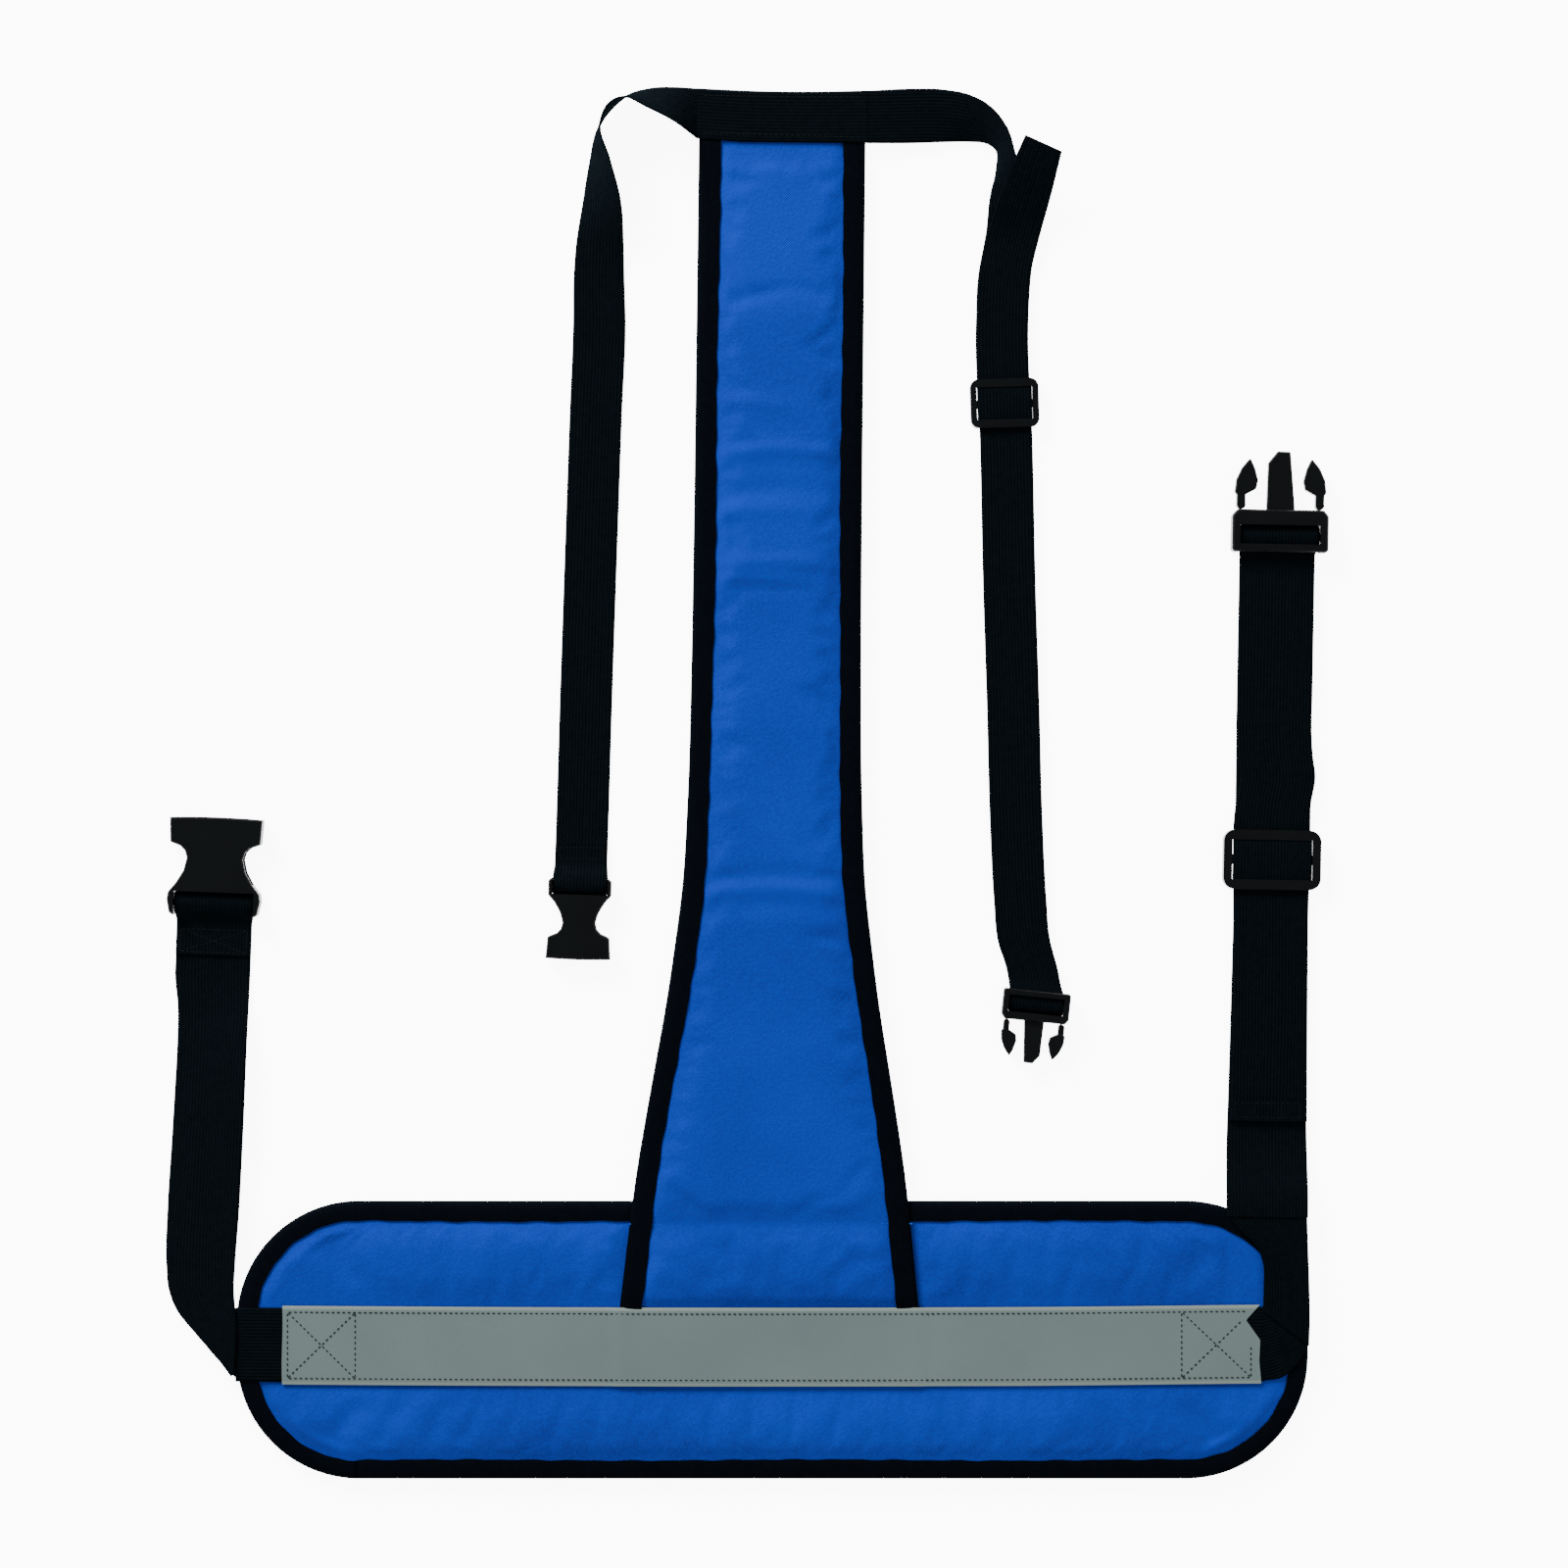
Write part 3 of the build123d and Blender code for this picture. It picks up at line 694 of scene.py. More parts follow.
def swell(cover, free, pressure, cap):
    """Blow up the free part of a cover; free is 0 where it is sewn down and 1 where it is loose."""
    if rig.quick():
        return
    group = cover.vertex_groups.new(name="held")
    for level in range(1, PIN_LEVELS + 1):
        chosen = np.flatnonzero(np.round((1 - free) * PIN_LEVELS) == level)
        group.add(chosen.tolist(), level / PIN_LEVELS, "REPLACE")
    cloth = cover.modifiers.new("swell", "CLOTH")
    for setting, value in CLOTH.items():
        setattr(cloth.settings, setting, value)
    cloth.settings.uniform_pressure_force = pressure
    cloth.settings.effector_weights.gravity = 0
    cloth.collision_settings.use_collision = False
    cloth.point_cache.frame_start = 1
    cloth.point_cache.frame_end = SWELL_FRAMES
    for number in range(1, SWELL_FRAMES + 1):
        bpy.context.scene.frame_set(number)
    blown = cover.evaluated_get(bpy.context.evaluated_depsgraph_get()).data
    count = len(cover.data.vertices)
    start, moved = np.empty(count * 3), np.empty(count * 3)
    cover.data.vertices.foreach_get("co", start)
    blown.vertices.foreach_get("co", moved)
    shift = (moved - start).reshape(-1, 3)
    length = np.linalg.norm(shift, axis=1, keepdims=True)
    shift *= np.minimum(1, cap * MM / np.maximum(length, 1e-9)) * free[:, None]
    cover.modifiers.remove(cloth)
    cover.vertex_groups.remove(group)
    cover.data.vertices.foreach_set("co", (start.reshape(-1, 3) + shift).ravel())
    cover.data.update()
    bpy.context.scene.frame_set(1)
    print(f"{cover.name}: swelled by up to {length.max() / MM:.1f} mm, capped at {cap}")


def make_cover(name, front, back, loose, pressure, cap, nodes, body=None, joint=None):
    points, faces = closed_pair(front, back)
    cover = put(name, points, faces, cover_cloth, body)
    swell(cover, np.r_[loose.ravel(), np.zeros(loose.size)], pressure, cap)
    finer = cover.modifiers.new("finer", "SUBSURF")
    finer.levels = finer.render_levels = 1
    if joint:
        bend(cover, joint)
    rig.replaces(cover, *nodes)
    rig.slot(cover, "blue_cloth")
    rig.padded(cover, 0.35)


# %% [markdown]
# ## Waist pad
# The pad is a sandwich of foam between two cloth covers, 682 mm long with round ends. It is sewn
# flat under the webbing and under the stem's foot, and bound all round, so it stands proud only in
# between. The grid follows the outline: each row is as long as the pad is at that height.

# %% Outline of the waist pad
PAD_HALF = (PAD_HIGH - PAD_LOW)[:2] / 2
PAD_CORNER = 78.0
PAD_THICK = PAD_HIGH[2]
BOUND = 12.5
WEB_MIDDLE = (WEB_LOW[1] + WEB_HIGH[1]) / 2
WEB_HALF = (WEB_HIGH[1] - WEB_LOW[1]) / 2


def inside_pad(x, y):
    """Distance inward from the pad's outline: that of a rectangle with round corners."""
    qx = np.abs(x) - (PAD_HALF[0] - PAD_CORNER)
    qy = np.abs(y) - (PAD_HALF[1] - PAD_CORNER)
    outside = np.hypot(np.maximum(qx, 0), np.maximum(qy, 0))
    return PAD_CORNER - outside - np.minimum(np.maximum(qx, qy), 0)


def pad_half_length(y, inset):
    """Half the pad's length at a height, a little inside its outline."""
    past = np.maximum(np.abs(y) - (PAD_HALF[1] - PAD_CORNER), 0)
    radius = PAD_CORNER - inset
    return PAD_HALF[0] - PAD_CORNER + np.sqrt(np.maximum(radius**2 - past**2, 0))


# %% The stem's edges, as half widths at heights
STEM_HEIGHTS = np.array([-30, 20, 104, 160, 216, 291, 366, 450, 541, 800.0])
STEM_HALVES = np.array([100.5, 95, 86, 76.9, 67.2, 57.5, 54.7, 53.8, 53.4, 53.0])
STEM_LEAN = 0.0112
STEM_FOOT_X = -2.2
FOLD_Y = 90.2
TONGUE_TOP = PAD_THICK + 4.0
STEM_THICK = 7.0


def stem_middle(y):
    """The middle line of the stem: straight, and leaning a little to the right."""
    return STEM_FOOT_X + STEM_LEAN * y


def stem_half(y):
    """Half width of the stem: a smooth curve through the heights above."""
    fine = np.linspace(STEM_HEIGHTS[0], STEM_HEIGHTS[-1], 400)
    rough = np.interp(fine, STEM_HEIGHTS, STEM_HALVES)
    kernel = np.hanning(41)
    padded = np.pad(rough, 20, mode="reflect", reflect_type="odd")
    return np.interp(y, fine, np.convolve(padded, kernel / kernel.sum(), "valid"))


def stem_slope(y):
    """Height of the stem's back past the fold, down to the floor at its top."""
    return (TONGUE_TOP - STEM_THICK) * (STEM_TOP_Y - y) / (STEM_TOP_Y - FOLD_Y)


def stem_under(y):
    """Height of the stem's back: on the pad at first, then sloping."""
    on_pad = PAD_THICK + 0.15
    return on_pad + (stem_slope(y) - on_pad) * step(y, 84, 93)


def stem_over(y):
    """Height of the stem's front, flat on the pad and then sloping down too."""
    return np.where(y < FOLD_Y, TONGUE_TOP, STEM_THICK + stem_slope(y))


print(f"stem: {2 * stem_half(FOLD_Y):.0f} mm wide at the pad, {2 * stem_half(STEM_TOP_Y):.0f} mm at its top")


# %% Waist pad cover
PAD_ROWS = 50
PAD_COLUMNS = 172
CROWDING = 1.42
EASE = 9
CORNER_X = 291
RIM_FRONT = 7.3


def make_pad_cover():
    """Rows crowd towards the long edges; the cloth rises within EASE of each sewn place."""
    rows = np.linspace(-1, 1, PAD_ROWS) * CROWDING
    rows = PAD_HALF[1] * np.sin(rows) / np.sin(CROWDING) * 0.968
    y = np.repeat(rows[:, None], PAD_COLUMNS, 1)
    x = np.linspace(-1, 1, PAD_COLUMNS)[None, :] * pad_half_length(rows, 3.0)[:, None]
    deep = inside_pad(x, y)
    off_web = step(np.abs(y - WEB_MIDDLE), WEB_HALF + 0.5, WEB_HALF + EASE)
    off_tape = step(y, TAPE_HIGH[1] + 0.5, TAPE_HIGH[1] + EASE)
    off_web = np.where(y > TAPE_HIGH[1] + 2, off_tape, off_web)
    beside_stem = np.abs(x - stem_middle(y)) - stem_half(y)
    off_stem = np.where(y > WEB_MIDDLE, step(beside_stem, 0.5, EASE), 1.0)
    off_corner = step(CORNER_X - x, 0.5, EASE) + (y < WEB_MIDDLE)
    loose = off_web * off_stem * np.minimum(off_corner, 1) * step(deep, BOUND, BOUND + EASE)
    pressed = RIM_FRONT + (PAD_THICK - 0.35 - RIM_FRONT) * step(deep, BOUND - 1.5, BOUND + 6)
    front = np.stack([x, y, pressed + 0.9 * loose], -1)
    back = np.stack([x, y, 1.0 - 0.9 * step(deep, BOUND - 1, BOUND + 4)], -1)
    nodes = ["waist_pad_back_cover", "waist_pad_core", "waist_pad_front_cover"]
    make_cover("waist_pad_cover", front, back, loose, 3.0, 2.2, nodes, body="waist_pad")


make_pad_cover()


# %% [markdown]
# ## Binding
# Binding is tape folded over a raw edge and sewn through. Its section is a long U: a front leg, a
# rounded nose and a back leg. The section is carried round the outline, measured inward from it,
# and it puckers a little at every few stitches.

# %% Binding section and sweep
PUCKER = 0.6


def binding_section(width):
    """Outer and inner side of the U as (distance inward, share of height), front leg first."""
    outer = [(width, 1.0), (width * 0.72, 1.03), (width * 0.4, 1.02), (2.4, 0.95), (0.7, 0.78),
             (0, 0.5), (0.7, 0.2), (2.4, 0.03), (width * 0.5, 0.0), (width, 0.0)]
    inner = [(width, 0.1), (width * 0.5, 0.11), (2.6, 0.2), (1.4, 0.5), (2.6, 0.8),
             (width * 0.5, 0.92), (width, 0.9)]
    return outer, inner


def sweep_binding(name, edge, inward, low, high, width, closed, nodes, body=None, joint=None):
    """Carry the U along an edge; low and high are the back and front heights along it."""
    outer, inner = binding_section(width)
    section = np.array(outer + inner)
    reach = lengths(edge)
    ripple = PUCKER * np.sin(reach / 4.1) * np.sin(reach / 17.3 + 1) + PUCKER * np.sin(reach / 37.0)
    deep = section[None, :, 0] * (1 + ripple[:, None] * 0.05 * (section[None, :, 0] > 5))
    across = edge[:, None] + inward[:, None] * deep[..., None]
    lift = low[:, None] + (high - low)[:, None] * section[None, :, 1]
    lift = lift + 0.25 * ripple[:, None] * (section[None, :, 1] > 0.9) * (section[None, :, 0] > 2)
    points = np.concatenate([across, lift[..., None]], -1)
    rows, columns = points.shape[:2]
    profile = lengths(section * [1, 8])
    uv = np.stack(np.broadcast_arrays(reach[:, None], profile[None, :]), -1).reshape(-1, 2) * MM
    if closed:
        faces = grid_faces(rows, columns, ring=True, loop=True)[:, ::-1]
    else:
        faces = tube_faces(rows, columns, inside_out=True)
    flat = (profile[len(outer) - 1] * MM, reach[-1] * MM)
    put_sheet(name, (points.reshape(-1, 3), faces, uv), binding_finish, "binding", flat, "folded",
              nodes, body, joint)


# %% Binding round the waist pad
PAD_EDGE_POINTS = 560


def pad_outline(count):
    """Points and inward directions round the pad, counter-clockwise, evenly spread."""
    straight = 2 * (PAD_HALF - PAD_CORNER)
    arc = PAD_CORNER * np.pi / 2
    ends = np.cumsum([0, straight[0], arc, straight[1], arc, straight[0], arc, straight[1], arc])
    at = np.linspace(0, ends[-1], count, endpoint=False)
    side = np.searchsorted(ends, at, side="right") - 1
    along = at - ends[side]
    half = PAD_HALF - PAD_CORNER
    centre = np.array([[1, -1], [1, -1], [1, 1], [1, 1], [-1, 1], [-1, 1], [-1, -1], [-1, -1]]) * half
    angle = (side // 2) * np.pi / 2 - np.pi / 2 + np.where(side % 2, along / PAD_CORNER, 0)
    outward = np.stack([np.cos(angle), np.sin(angle)], 1)
    run = np.stack([-np.sin(angle), np.cos(angle)], 1)
    back = np.where(side % 2, 0, along - straight[(side // 2) % 2])
    return centre[side] + outward * PAD_CORNER + run * back[:, None], -outward


pad_edge, pad_inward = pad_outline(PAD_EDGE_POINTS)
sweep_binding("waist_pad_edging", pad_edge, pad_inward, np.zeros(PAD_EDGE_POINTS),
              np.full(PAD_EDGE_POINTS, PAD_THICK), BOUND, True, ["waist_pad_binding"], body="waist_pad")

# %% [markdown]
# ## Stem
# The stem is padded like the waist pad, flaring at its foot. It lies on the pad, is sewn across at
# the pad's upper edge, and drops to the floor towards its top. Where it has been folded in its bag
# it keeps a few soft creases across, which are added as low ridges before the cloth swells.

# %% Stem cover
CREASES = (
    (287, 1.5, 5, 0.03, -8, 60), (296, -1.0, 5, 0.03, 0, 60), (268, 0.7, 7, -0.04, 14, 40),
    (485, 1.0, 4, 0.06, -14, 30), (495, 1.5, 4, 0.0, 4, 34), (528, 0.9, 5, 0.05, -12, 34),
    (541, -0.7, 6, 0.0, 4, 46), (566, 1.5, 4.5, 0.02, 2, 42), (596, 0.9, 5, -0.08, -14, 30),
    (650, 0.5, 12, 0.1, 0, 50), (395, 0.5, 14, -0.1, 0, 50), (180, 0.6, 16, 0.1, 10, 70),
)
CREASE_BOW = 0.0022
STEM_SEAM_Y = 74.5
STEM_ROWS = 206
STEM_COLUMNS = 34
STEM_BOUND = 13.8
STEM_JOINT = ("waist_pad", "stem", (0, 78, 12.8), (0, 104, 12.8))


def creases(x, y):
    """Sum of low ridges: each is a bell across a bowed line and fades towards its two ends."""
    total = np.zeros_like(x)
    for height, rise, wide, slant, centre, reach in CREASES:
        off = y - height - slant * (x - centre) + CREASE_BOW * (x - centre) ** 2
        total += rise * np.exp(-(off / wide) ** 2) * np.exp(-((x - centre) / reach) ** 4)
    return total


def make_stem_cover():
    """Front and back of the stem, from under the tape to its top; its foot is narrowed and tucked."""
    rows = np.linspace(-20, STEM_TOP_Y - 1, STEM_ROWS)
    y = np.repeat(rows[:, None], STEM_COLUMNS, 1)
    half = stem_half(rows)[:, None] - 3.0
    half = half - 12 * (1 - step(rows, 10, 20))[:, None]
    x = stem_middle(rows)[:, None] + np.linspace(-1, 1, STEM_COLUMNS)[None, :] * half
    deep = stem_half(y) - np.abs(x - stem_middle(y))
    edge_lift = step(deep, BOUND, 20)
    loose = edge_lift * step(y, 23, 36) * (1 - step(y, 742, 760))
    loose = loose * (0.12 + 0.88 * step(np.abs(y - STEM_SEAM_Y), 1, 12))
    under, over = stem_under(y), stem_over(y)
    tuck = step(y, TAPE_HIGH[1] - 1, TAPE_HIGH[1] + 6)
    top = over - 1.1 + 0.8 * edge_lift + 0.7 * loose
    top = top * tuck + (PAD_THICK + 0.75) * (1 - tuck)
    seam = np.exp(-((y - STEM_SEAM_Y) / 2.2) ** 2) * 0.7
    top = top + creases(x, y) * edge_lift - seam * edge_lift
    lift = under + 0.75 * (1 - step(deep, BOUND, 17)) * step(y, 20, 24)
    front = np.stack([x, y, top], -1)
    back = np.stack([x, y, lift], -1)
    nodes = ["stem_back_cover", "stem_core", "stem_front_cover", "stem_tongue"]
    make_cover("stem_cover", front, back, loose, 2.5, 1.8, nodes, joint=STEM_JOINT)


make_stem_cover()


# %% Binding down both sides of the stem
def stem_edge(side):
    """Edge line and inward direction on one side; side is -1 or 1."""
    y = np.linspace(TAPE_HIGH[1] - 0.6, STEM_TOP_Y, 260)
    edge = np.stack([stem_middle(y) + side * stem_half(y), y], 1)
    along = unit(np.gradient(edge, axis=0))
    return edge, side * np.stack([-along[:, 1], along[:, 0]], 1)


def make_stem_binding(side, word):
    """The U along one side of the stem; its front dips at the foot, to go under the tape."""
    edge, inward = stem_edge(side)
    if side < 0:
        edge, inward = edge[::-1], inward[::-1]
    y = edge[:, 1]
    dive = 1.8 * (1 - step(y, TAPE_HIGH[1], TAPE_HIGH[1] + 7))
    sweep_binding(f"stem_edging_{word}", edge, inward, stem_under(y), stem_over(y) + 0.1 - dive,
                  STEM_BOUND, False, [f"stem_binding_{word}", f"stem_tongue_binding_{word}"],
                  joint=STEM_JOINT)


make_stem_binding(-1, "left")
make_stem_binding(1, "right")


# %% [markdown]
# ## Waist webbing and reflective tape
# One length of webbing is sewn along the pad, over the stem's tucked end, and grey reflective tape
# is sewn on top of it with a box and a cross at each end. The tape is wider than the webbing by a
# millimetre each side, sags a little in the middle, and its right end was cut with a nick.

# %% Level of the webbing along the pad
STEM_FOOT_HALF = 95
SAG = 1.2
TAPE_HALF_LONG = 312


def web_level(x):
    """Height of the webbing's back: one step up over the stem's tucked end."""
    over_stem = np.abs(x - STEM_FOOT_X) - STEM_FOOT_HALF
    return PAD_THICK + 0.8 * (1 - step(over_stem, 0, 7))


def sag(x):
    """The tape's small dip towards its middle, and a lift at its right end."""
    return -SAG * (1 - (x / TAPE_HALF_LONG) ** 2) + 0.6 * step(x, 150, 310)


def make_waist_webbing():
    """Two edges at the webbing's level along the pad, both following the sag."""
    x = np.linspace(WEB_LOW[0], WEB_HIGH[0] + 3, 150)
    z = web_level(x) + WEB / 2
    low = np.stack([x, WEB_LOW[1] + sag(x) + SAG, z], 1)
    high = np.stack([x, WEB_HIGH[1] + sag(x) + 0.4, z], 1)
    webbing("waist_web", np.stack([high, low], 1), ["waist_webbing"], "waist_pad", held="stretched")


make_waist_webbing()


# %% Reflective tape with its nick
TAPE_HALF = 25
TAPE_THICK = 0.45
NICK = np.array([[TAPE_HALF, 0.0], [15.4, -8.7], [2.7, 0.3], [-10.5, -0.3], [-TAPE_HALF, 1.0]])


def make_tape():
    """Rows run along the tape; the right end of each row stops at the nicked end line."""
    x_share = np.linspace(0, 1, 180)[:, None]
    v = np.linspace(-TAPE_HALF, TAPE_HALF, 41)[None, :]
    end = TAPE_HIGH[0] - 0.4 + np.interp(v, NICK[::-1, 0], NICK[::-1, 1])
    start = TAPE_LOW[0] + 0.8 + 0.3 * np.sin(v / 9)
    x = start + (end - start) * x_share
    y = (TAPE_LOW[1] + TAPE_HIGH[1]) / 2 + v + sag(x) + 0.8
    z = web_level(x) + WEB + 0.5 + 0.12 * np.sin(x / 31) * np.sin(y / 19)
    z = z - 0.35 * step(np.abs(v), TAPE_HALF - 2, TAPE_HALF)
    front = np.stack([x, y, z], -1)
    back = np.stack([x, y, z - TAPE_THICK], -1)
    points, faces = closed_pair(front, back)
    uv = np.stack(np.broadcast_arrays(x, v + 0 * x), -1).reshape(-1, 2) * MM
    put_sheet("waist_tape", (points, faces[:, ::-1], np.r_[uv, uv]), tape_finish, "reflective",
              (0.05, 0.622), "stretched", ["reflective_tape"], "waist_pad")


make_tape()


# %% Stitches on the tape
def on_tape(x, y):
    """A point on the tape's front."""
    x, y = np.asarray(x, float), np.asarray(y, float)
    return np.stack([x, y + sag(x), web_level(x) + WEB + 0.6 + 0 * x], -1)


def tape_line(x0, y0, x1, y1):
    """Evenly spread points on the tape, straight from one place to another."""
    share = np.linspace(0, 1, 60)
    return on_tape(x0 + (x1 - x0) * share, y0 + (y1 - y0) * share)


def make_tape_stitches():
    """Two rows along the tape and a crossed box at each end; the right box gives way to the nick."""
    left, right = TAPE_LOW[0] + 4.2, TAPE_HIGH[0] - 6
    low, high = TAPE_LOW[1] + 4.8, TAPE_HIGH[1] - 3.2
    box_left, box_right = left + 43, right - 44
    lines = [tape_line(left, high, right - 3, high), tape_line(left, low, right, low)]
    lines += [tape_line(left, low, left, high), tape_line(box_left, low, box_left, high),
              tape_line(left, low, box_left, high), tape_line(left, high, box_left, low)]
    lines += [tape_line(right, low, right, high - 22), tape_line(box_right, low, box_right, high),
              tape_line(right, low, box_right, high), tape_line(right - 6, high - 6, box_right, low)]
    thread("tape_stitches", lines, dark_thread, "waist_pad", pitch=3.4, size=(2.0, 1.0, 0.6),
           slot="reflective")


make_tape_stitches()


# %% Seam where the stem is sewn to the pad's upper edge
def make_stem_seam():
    """One row across the stem, in a slow wave, riding over the creases."""
    x = np.linspace(-92, 90, 60)
    y = STEM_SEAM_Y + 0.6 * np.sin(x / 30)
    rise = TONGUE_TOP - 0.95 + creases(x, y)
    thread("stem_seam_stitches", [np.stack([x, y, rise], 1)], blue_thread, "waist_pad",
           pitch=4.6, size=(3.2, 0.9, 0.7), slot="blue_cloth")


make_stem_seam()


# %% [markdown]
# ## Straps
# Each strap is one length of webbing. It is cut into a few pieces only where the frame bends: a
# piece across the fold at the pad or stem, and a short piece that turns round the buckle's bar.
# Pieces of the same strap share a section where they meet, so the strap looks whole at rest, and
# each bends between its two bodies when a joint moves.

# %% Where each buckle's bar is
def hinge(name):
    """Place in millimetres and turn in radians of a hinge that lies across a strap."""
    joint = next(item for item in frame["joints"] if item["name"] == name)
    return np.array(joint["pos_m"]) / MM, np.arctan2(joint["axis"][1], joint["axis"][0])


NOSE_REACH = 6.6
PLUG_ASIDE = 1.0
BAR_GAP = 1.2
HINGE_HEIGHT = 4.0


class Buckle:
    """Local frame of a buckle half: its bar along X, the strap arriving from -Y.

    spread is how much the webbing widens, pressed flat in the slot, and aside how far it lies there
    to one side; lean slants it sideways before the slot."""

    def __init__(self, joint, reach, web, bar_height, bar_radius, spread, lean=0.0, aside=0.0):
        pivot, self.turn = hinge(joint)
        self.lean = lean
        self.aside = aside
        self.spread = spread
        self.web = web
        self.height = bar_height
        self.radius = bar_radius
        self.bar = pivot + reach * np.array([-np.sin(self.turn), np.cos(self.turn), 0])
        self.bar[2] = 0

    def place(self, points):
        """Turn local points about the vertical and carry them to the bar."""
        points = np.asarray(points, float)
        x, y = points[..., 0], points[..., 1]
        c, s = np.cos(self.turn), np.sin(self.turn)
        return np.stack([c * x - s * y, s * x + c * y, points[..., 2]], -1) + self.bar

    def edges(self, path, web=None):
        """Both edges of webbing whose middle follows local (y, z) pairs; lean slants it sideways."""
        path = np.asarray(path, float)
        half = (web or self.web) / 2
        inside = step(path[:, 0], -12, -3)
        half = half * (1 + self.spread * inside)
        middle = self.lean * np.maximum(-path[:, 0] - 5, 0) + self.aside * inside
        left = np.stack([middle - half, path[:, 0], path[:, 1]], 1)
        right = np.stack([middle + half, path[:, 0], path[:, 1]], 1)
        return self.place(np.stack([left, right], 1))

    def turn_round(self, low, high, start, finish):
        """Local path in at height low, round the bar, and back at height high."""
        radius = self.radius + BAR_GAP
        angle = np.linspace(-80, 80, 9) * np.pi / 180
        arc = np.stack([NOSE_REACH * np.cos(angle), self.height + radius * np.sin(angle)], 1)
        into = [(start, low), (start * 0.6 - 8, low), (-19, low), (-13, low + 0.05),
                (-6, low * 0.45 + arc[0, 1] * 0.5)]
        back = [(-5, high * 0.25 + arc[-1, 1] * 0.75), (-11, high + 0.8), (-16, high + 0.1),
                (-22, high), (finish * 0.6 - 9, high), (finish, high)]
        return np.concatenate([into, arc, back])


WIDE = {"web": 48, "bar_height": 6.0, "bar_radius": 2.2, "spread": 0.05}
NARROW = {"web": 33.5, "bar_height": 5.3, "bar_radius": 1.9, "spread": 0.045}
waist_socket = Buckle("left_waist_socket_pivot", 33.3, **WIDE)
waist_plug = Buckle("right_waist_plug_pivot", 14.3, **WIDE, aside=PLUG_ASIDE)
neck_socket = Buckle("left_neck_socket_pivot", 24.3, **NARROW)
neck_plug = Buckle("right_neck_plug_pivot", 14.3, **NARROW, lean=0.3)
for word, item in (("waist socket", waist_socket), ("waist plug", waist_plug),
                   ("neck socket", neck_socket), ("neck plug", neck_plug)):
    print(f"{word}: bar at {np.round(item.bar[:2], 1)}, turned {np.degrees(item.turn):.1f} degrees")


def bend_near(buckle, near, far, start, end):
    """A joint just behind a buckle, for bend(), given as distances from its bar."""
    first, second = buckle.place([(0, start, HINGE_HEIGHT), (0, end, HINGE_HEIGHT)])
    return near, far, first, second


# %% Hems and crossed stitches at strap ends
def box_lines(buckle, y0, y1, height, cross=True):
    """Lines of a sewn box, with or without its cross, in a buckle's frame."""
    half = buckle.web / 2 - 3
    ring = [(-half, y0), (half, y0), (half, y1), (-half, y1), (-half, y0)]
    pairs = list(zip(ring[:-1], ring[1:]))
    if cross:
        pairs += [((-half, y0), (half, y1)), ((half, y0), (-half, y1))]
    return [buckle.place([(*a, height), (*b, height)]) for a, b in pairs]


# %% Left waist strap
def make_left_waist_strap():
    """From under the tape over the pad's edge, folded on the diagonal, and up to the socket."""
    stations = [
        ((-343.5, -22.5, 10.6), (-341.6, -20.5, 11.4)), ((-352, -12, 9.2), (-340.6, -4, 11.4)),
        ((-366, 3, 6.2), (-340.3, 10, 11.4)), ((-379.5, 19, 3.4), (-341, 22, 10.9)),
        ((-384.6, 32, 2.6), (-341.8, 33, 10.3)), ((-386, 46, 2.2), (-341.2, 46, 9.9)),
        ((-385.4, 85, 1.4), (-338.4, 85, 9.6)), ((-383, 125, 0.9), (-336.2, 125, 10.3)),
        ((-380.9, 160, 0.8), (-334.5, 160, 11.5)), ((-379.3, 190, 0.8), (-333.6, 190, 9.5)),
        ((-379, 212, 0.75), (-333.2, 212, 4.2)),
    ]
    loop = waist_socket.turn_round(0.75, 2.2, -46, -33)
    whole = np.concatenate([stations, waist_socket.edges(loop)])
    edges = through(whole, 330)
    cut = int(np.argmax(edges[:, :, 1].mean(axis=1) > 222))
    webbing("waist_web_left", edges[:cut + 1], ["waist_strap_left", "waist_strap_left_fold"],
            joint=("waist_pad", "left_waist_strap", (-364, 39, 11.8), (-364, 53, 11.8)))
    webbing("waist_web_left_end", edges[cut:], ["waist_strap_left_loop"],
            joint=bend_near(waist_socket, "left_waist_strap", "left_waist_socket", -39, -27),
            held="folded")
    under = [((-340.5, 20.6, 9.3), (-340.5, -24, 9.3)), ((-352, 20.8, 7.0), (-352, -13, 7.0)),
             ((-366, 20.9, 4.0), (-366, 3, 4.0)), ((-378, 21, 1.6), (-378, 19, 1.6))]
    webbing("waist_web_left_turn", through(under, 24), [], "waist_pad", held="folded")
    lines = box_lines(waist_socket, -31.5, -17, 2.95)
    thread("waist_socket_stitches", lines, black_thread, "left_waist_socket", pitch=3.2,
           size=(2.4, 0.7, 0.4))


make_left_waist_strap()


# %% Right waist strap
WAIST_FOLD_Y = 92
LOWER = 2.9
UPPER = 4.4


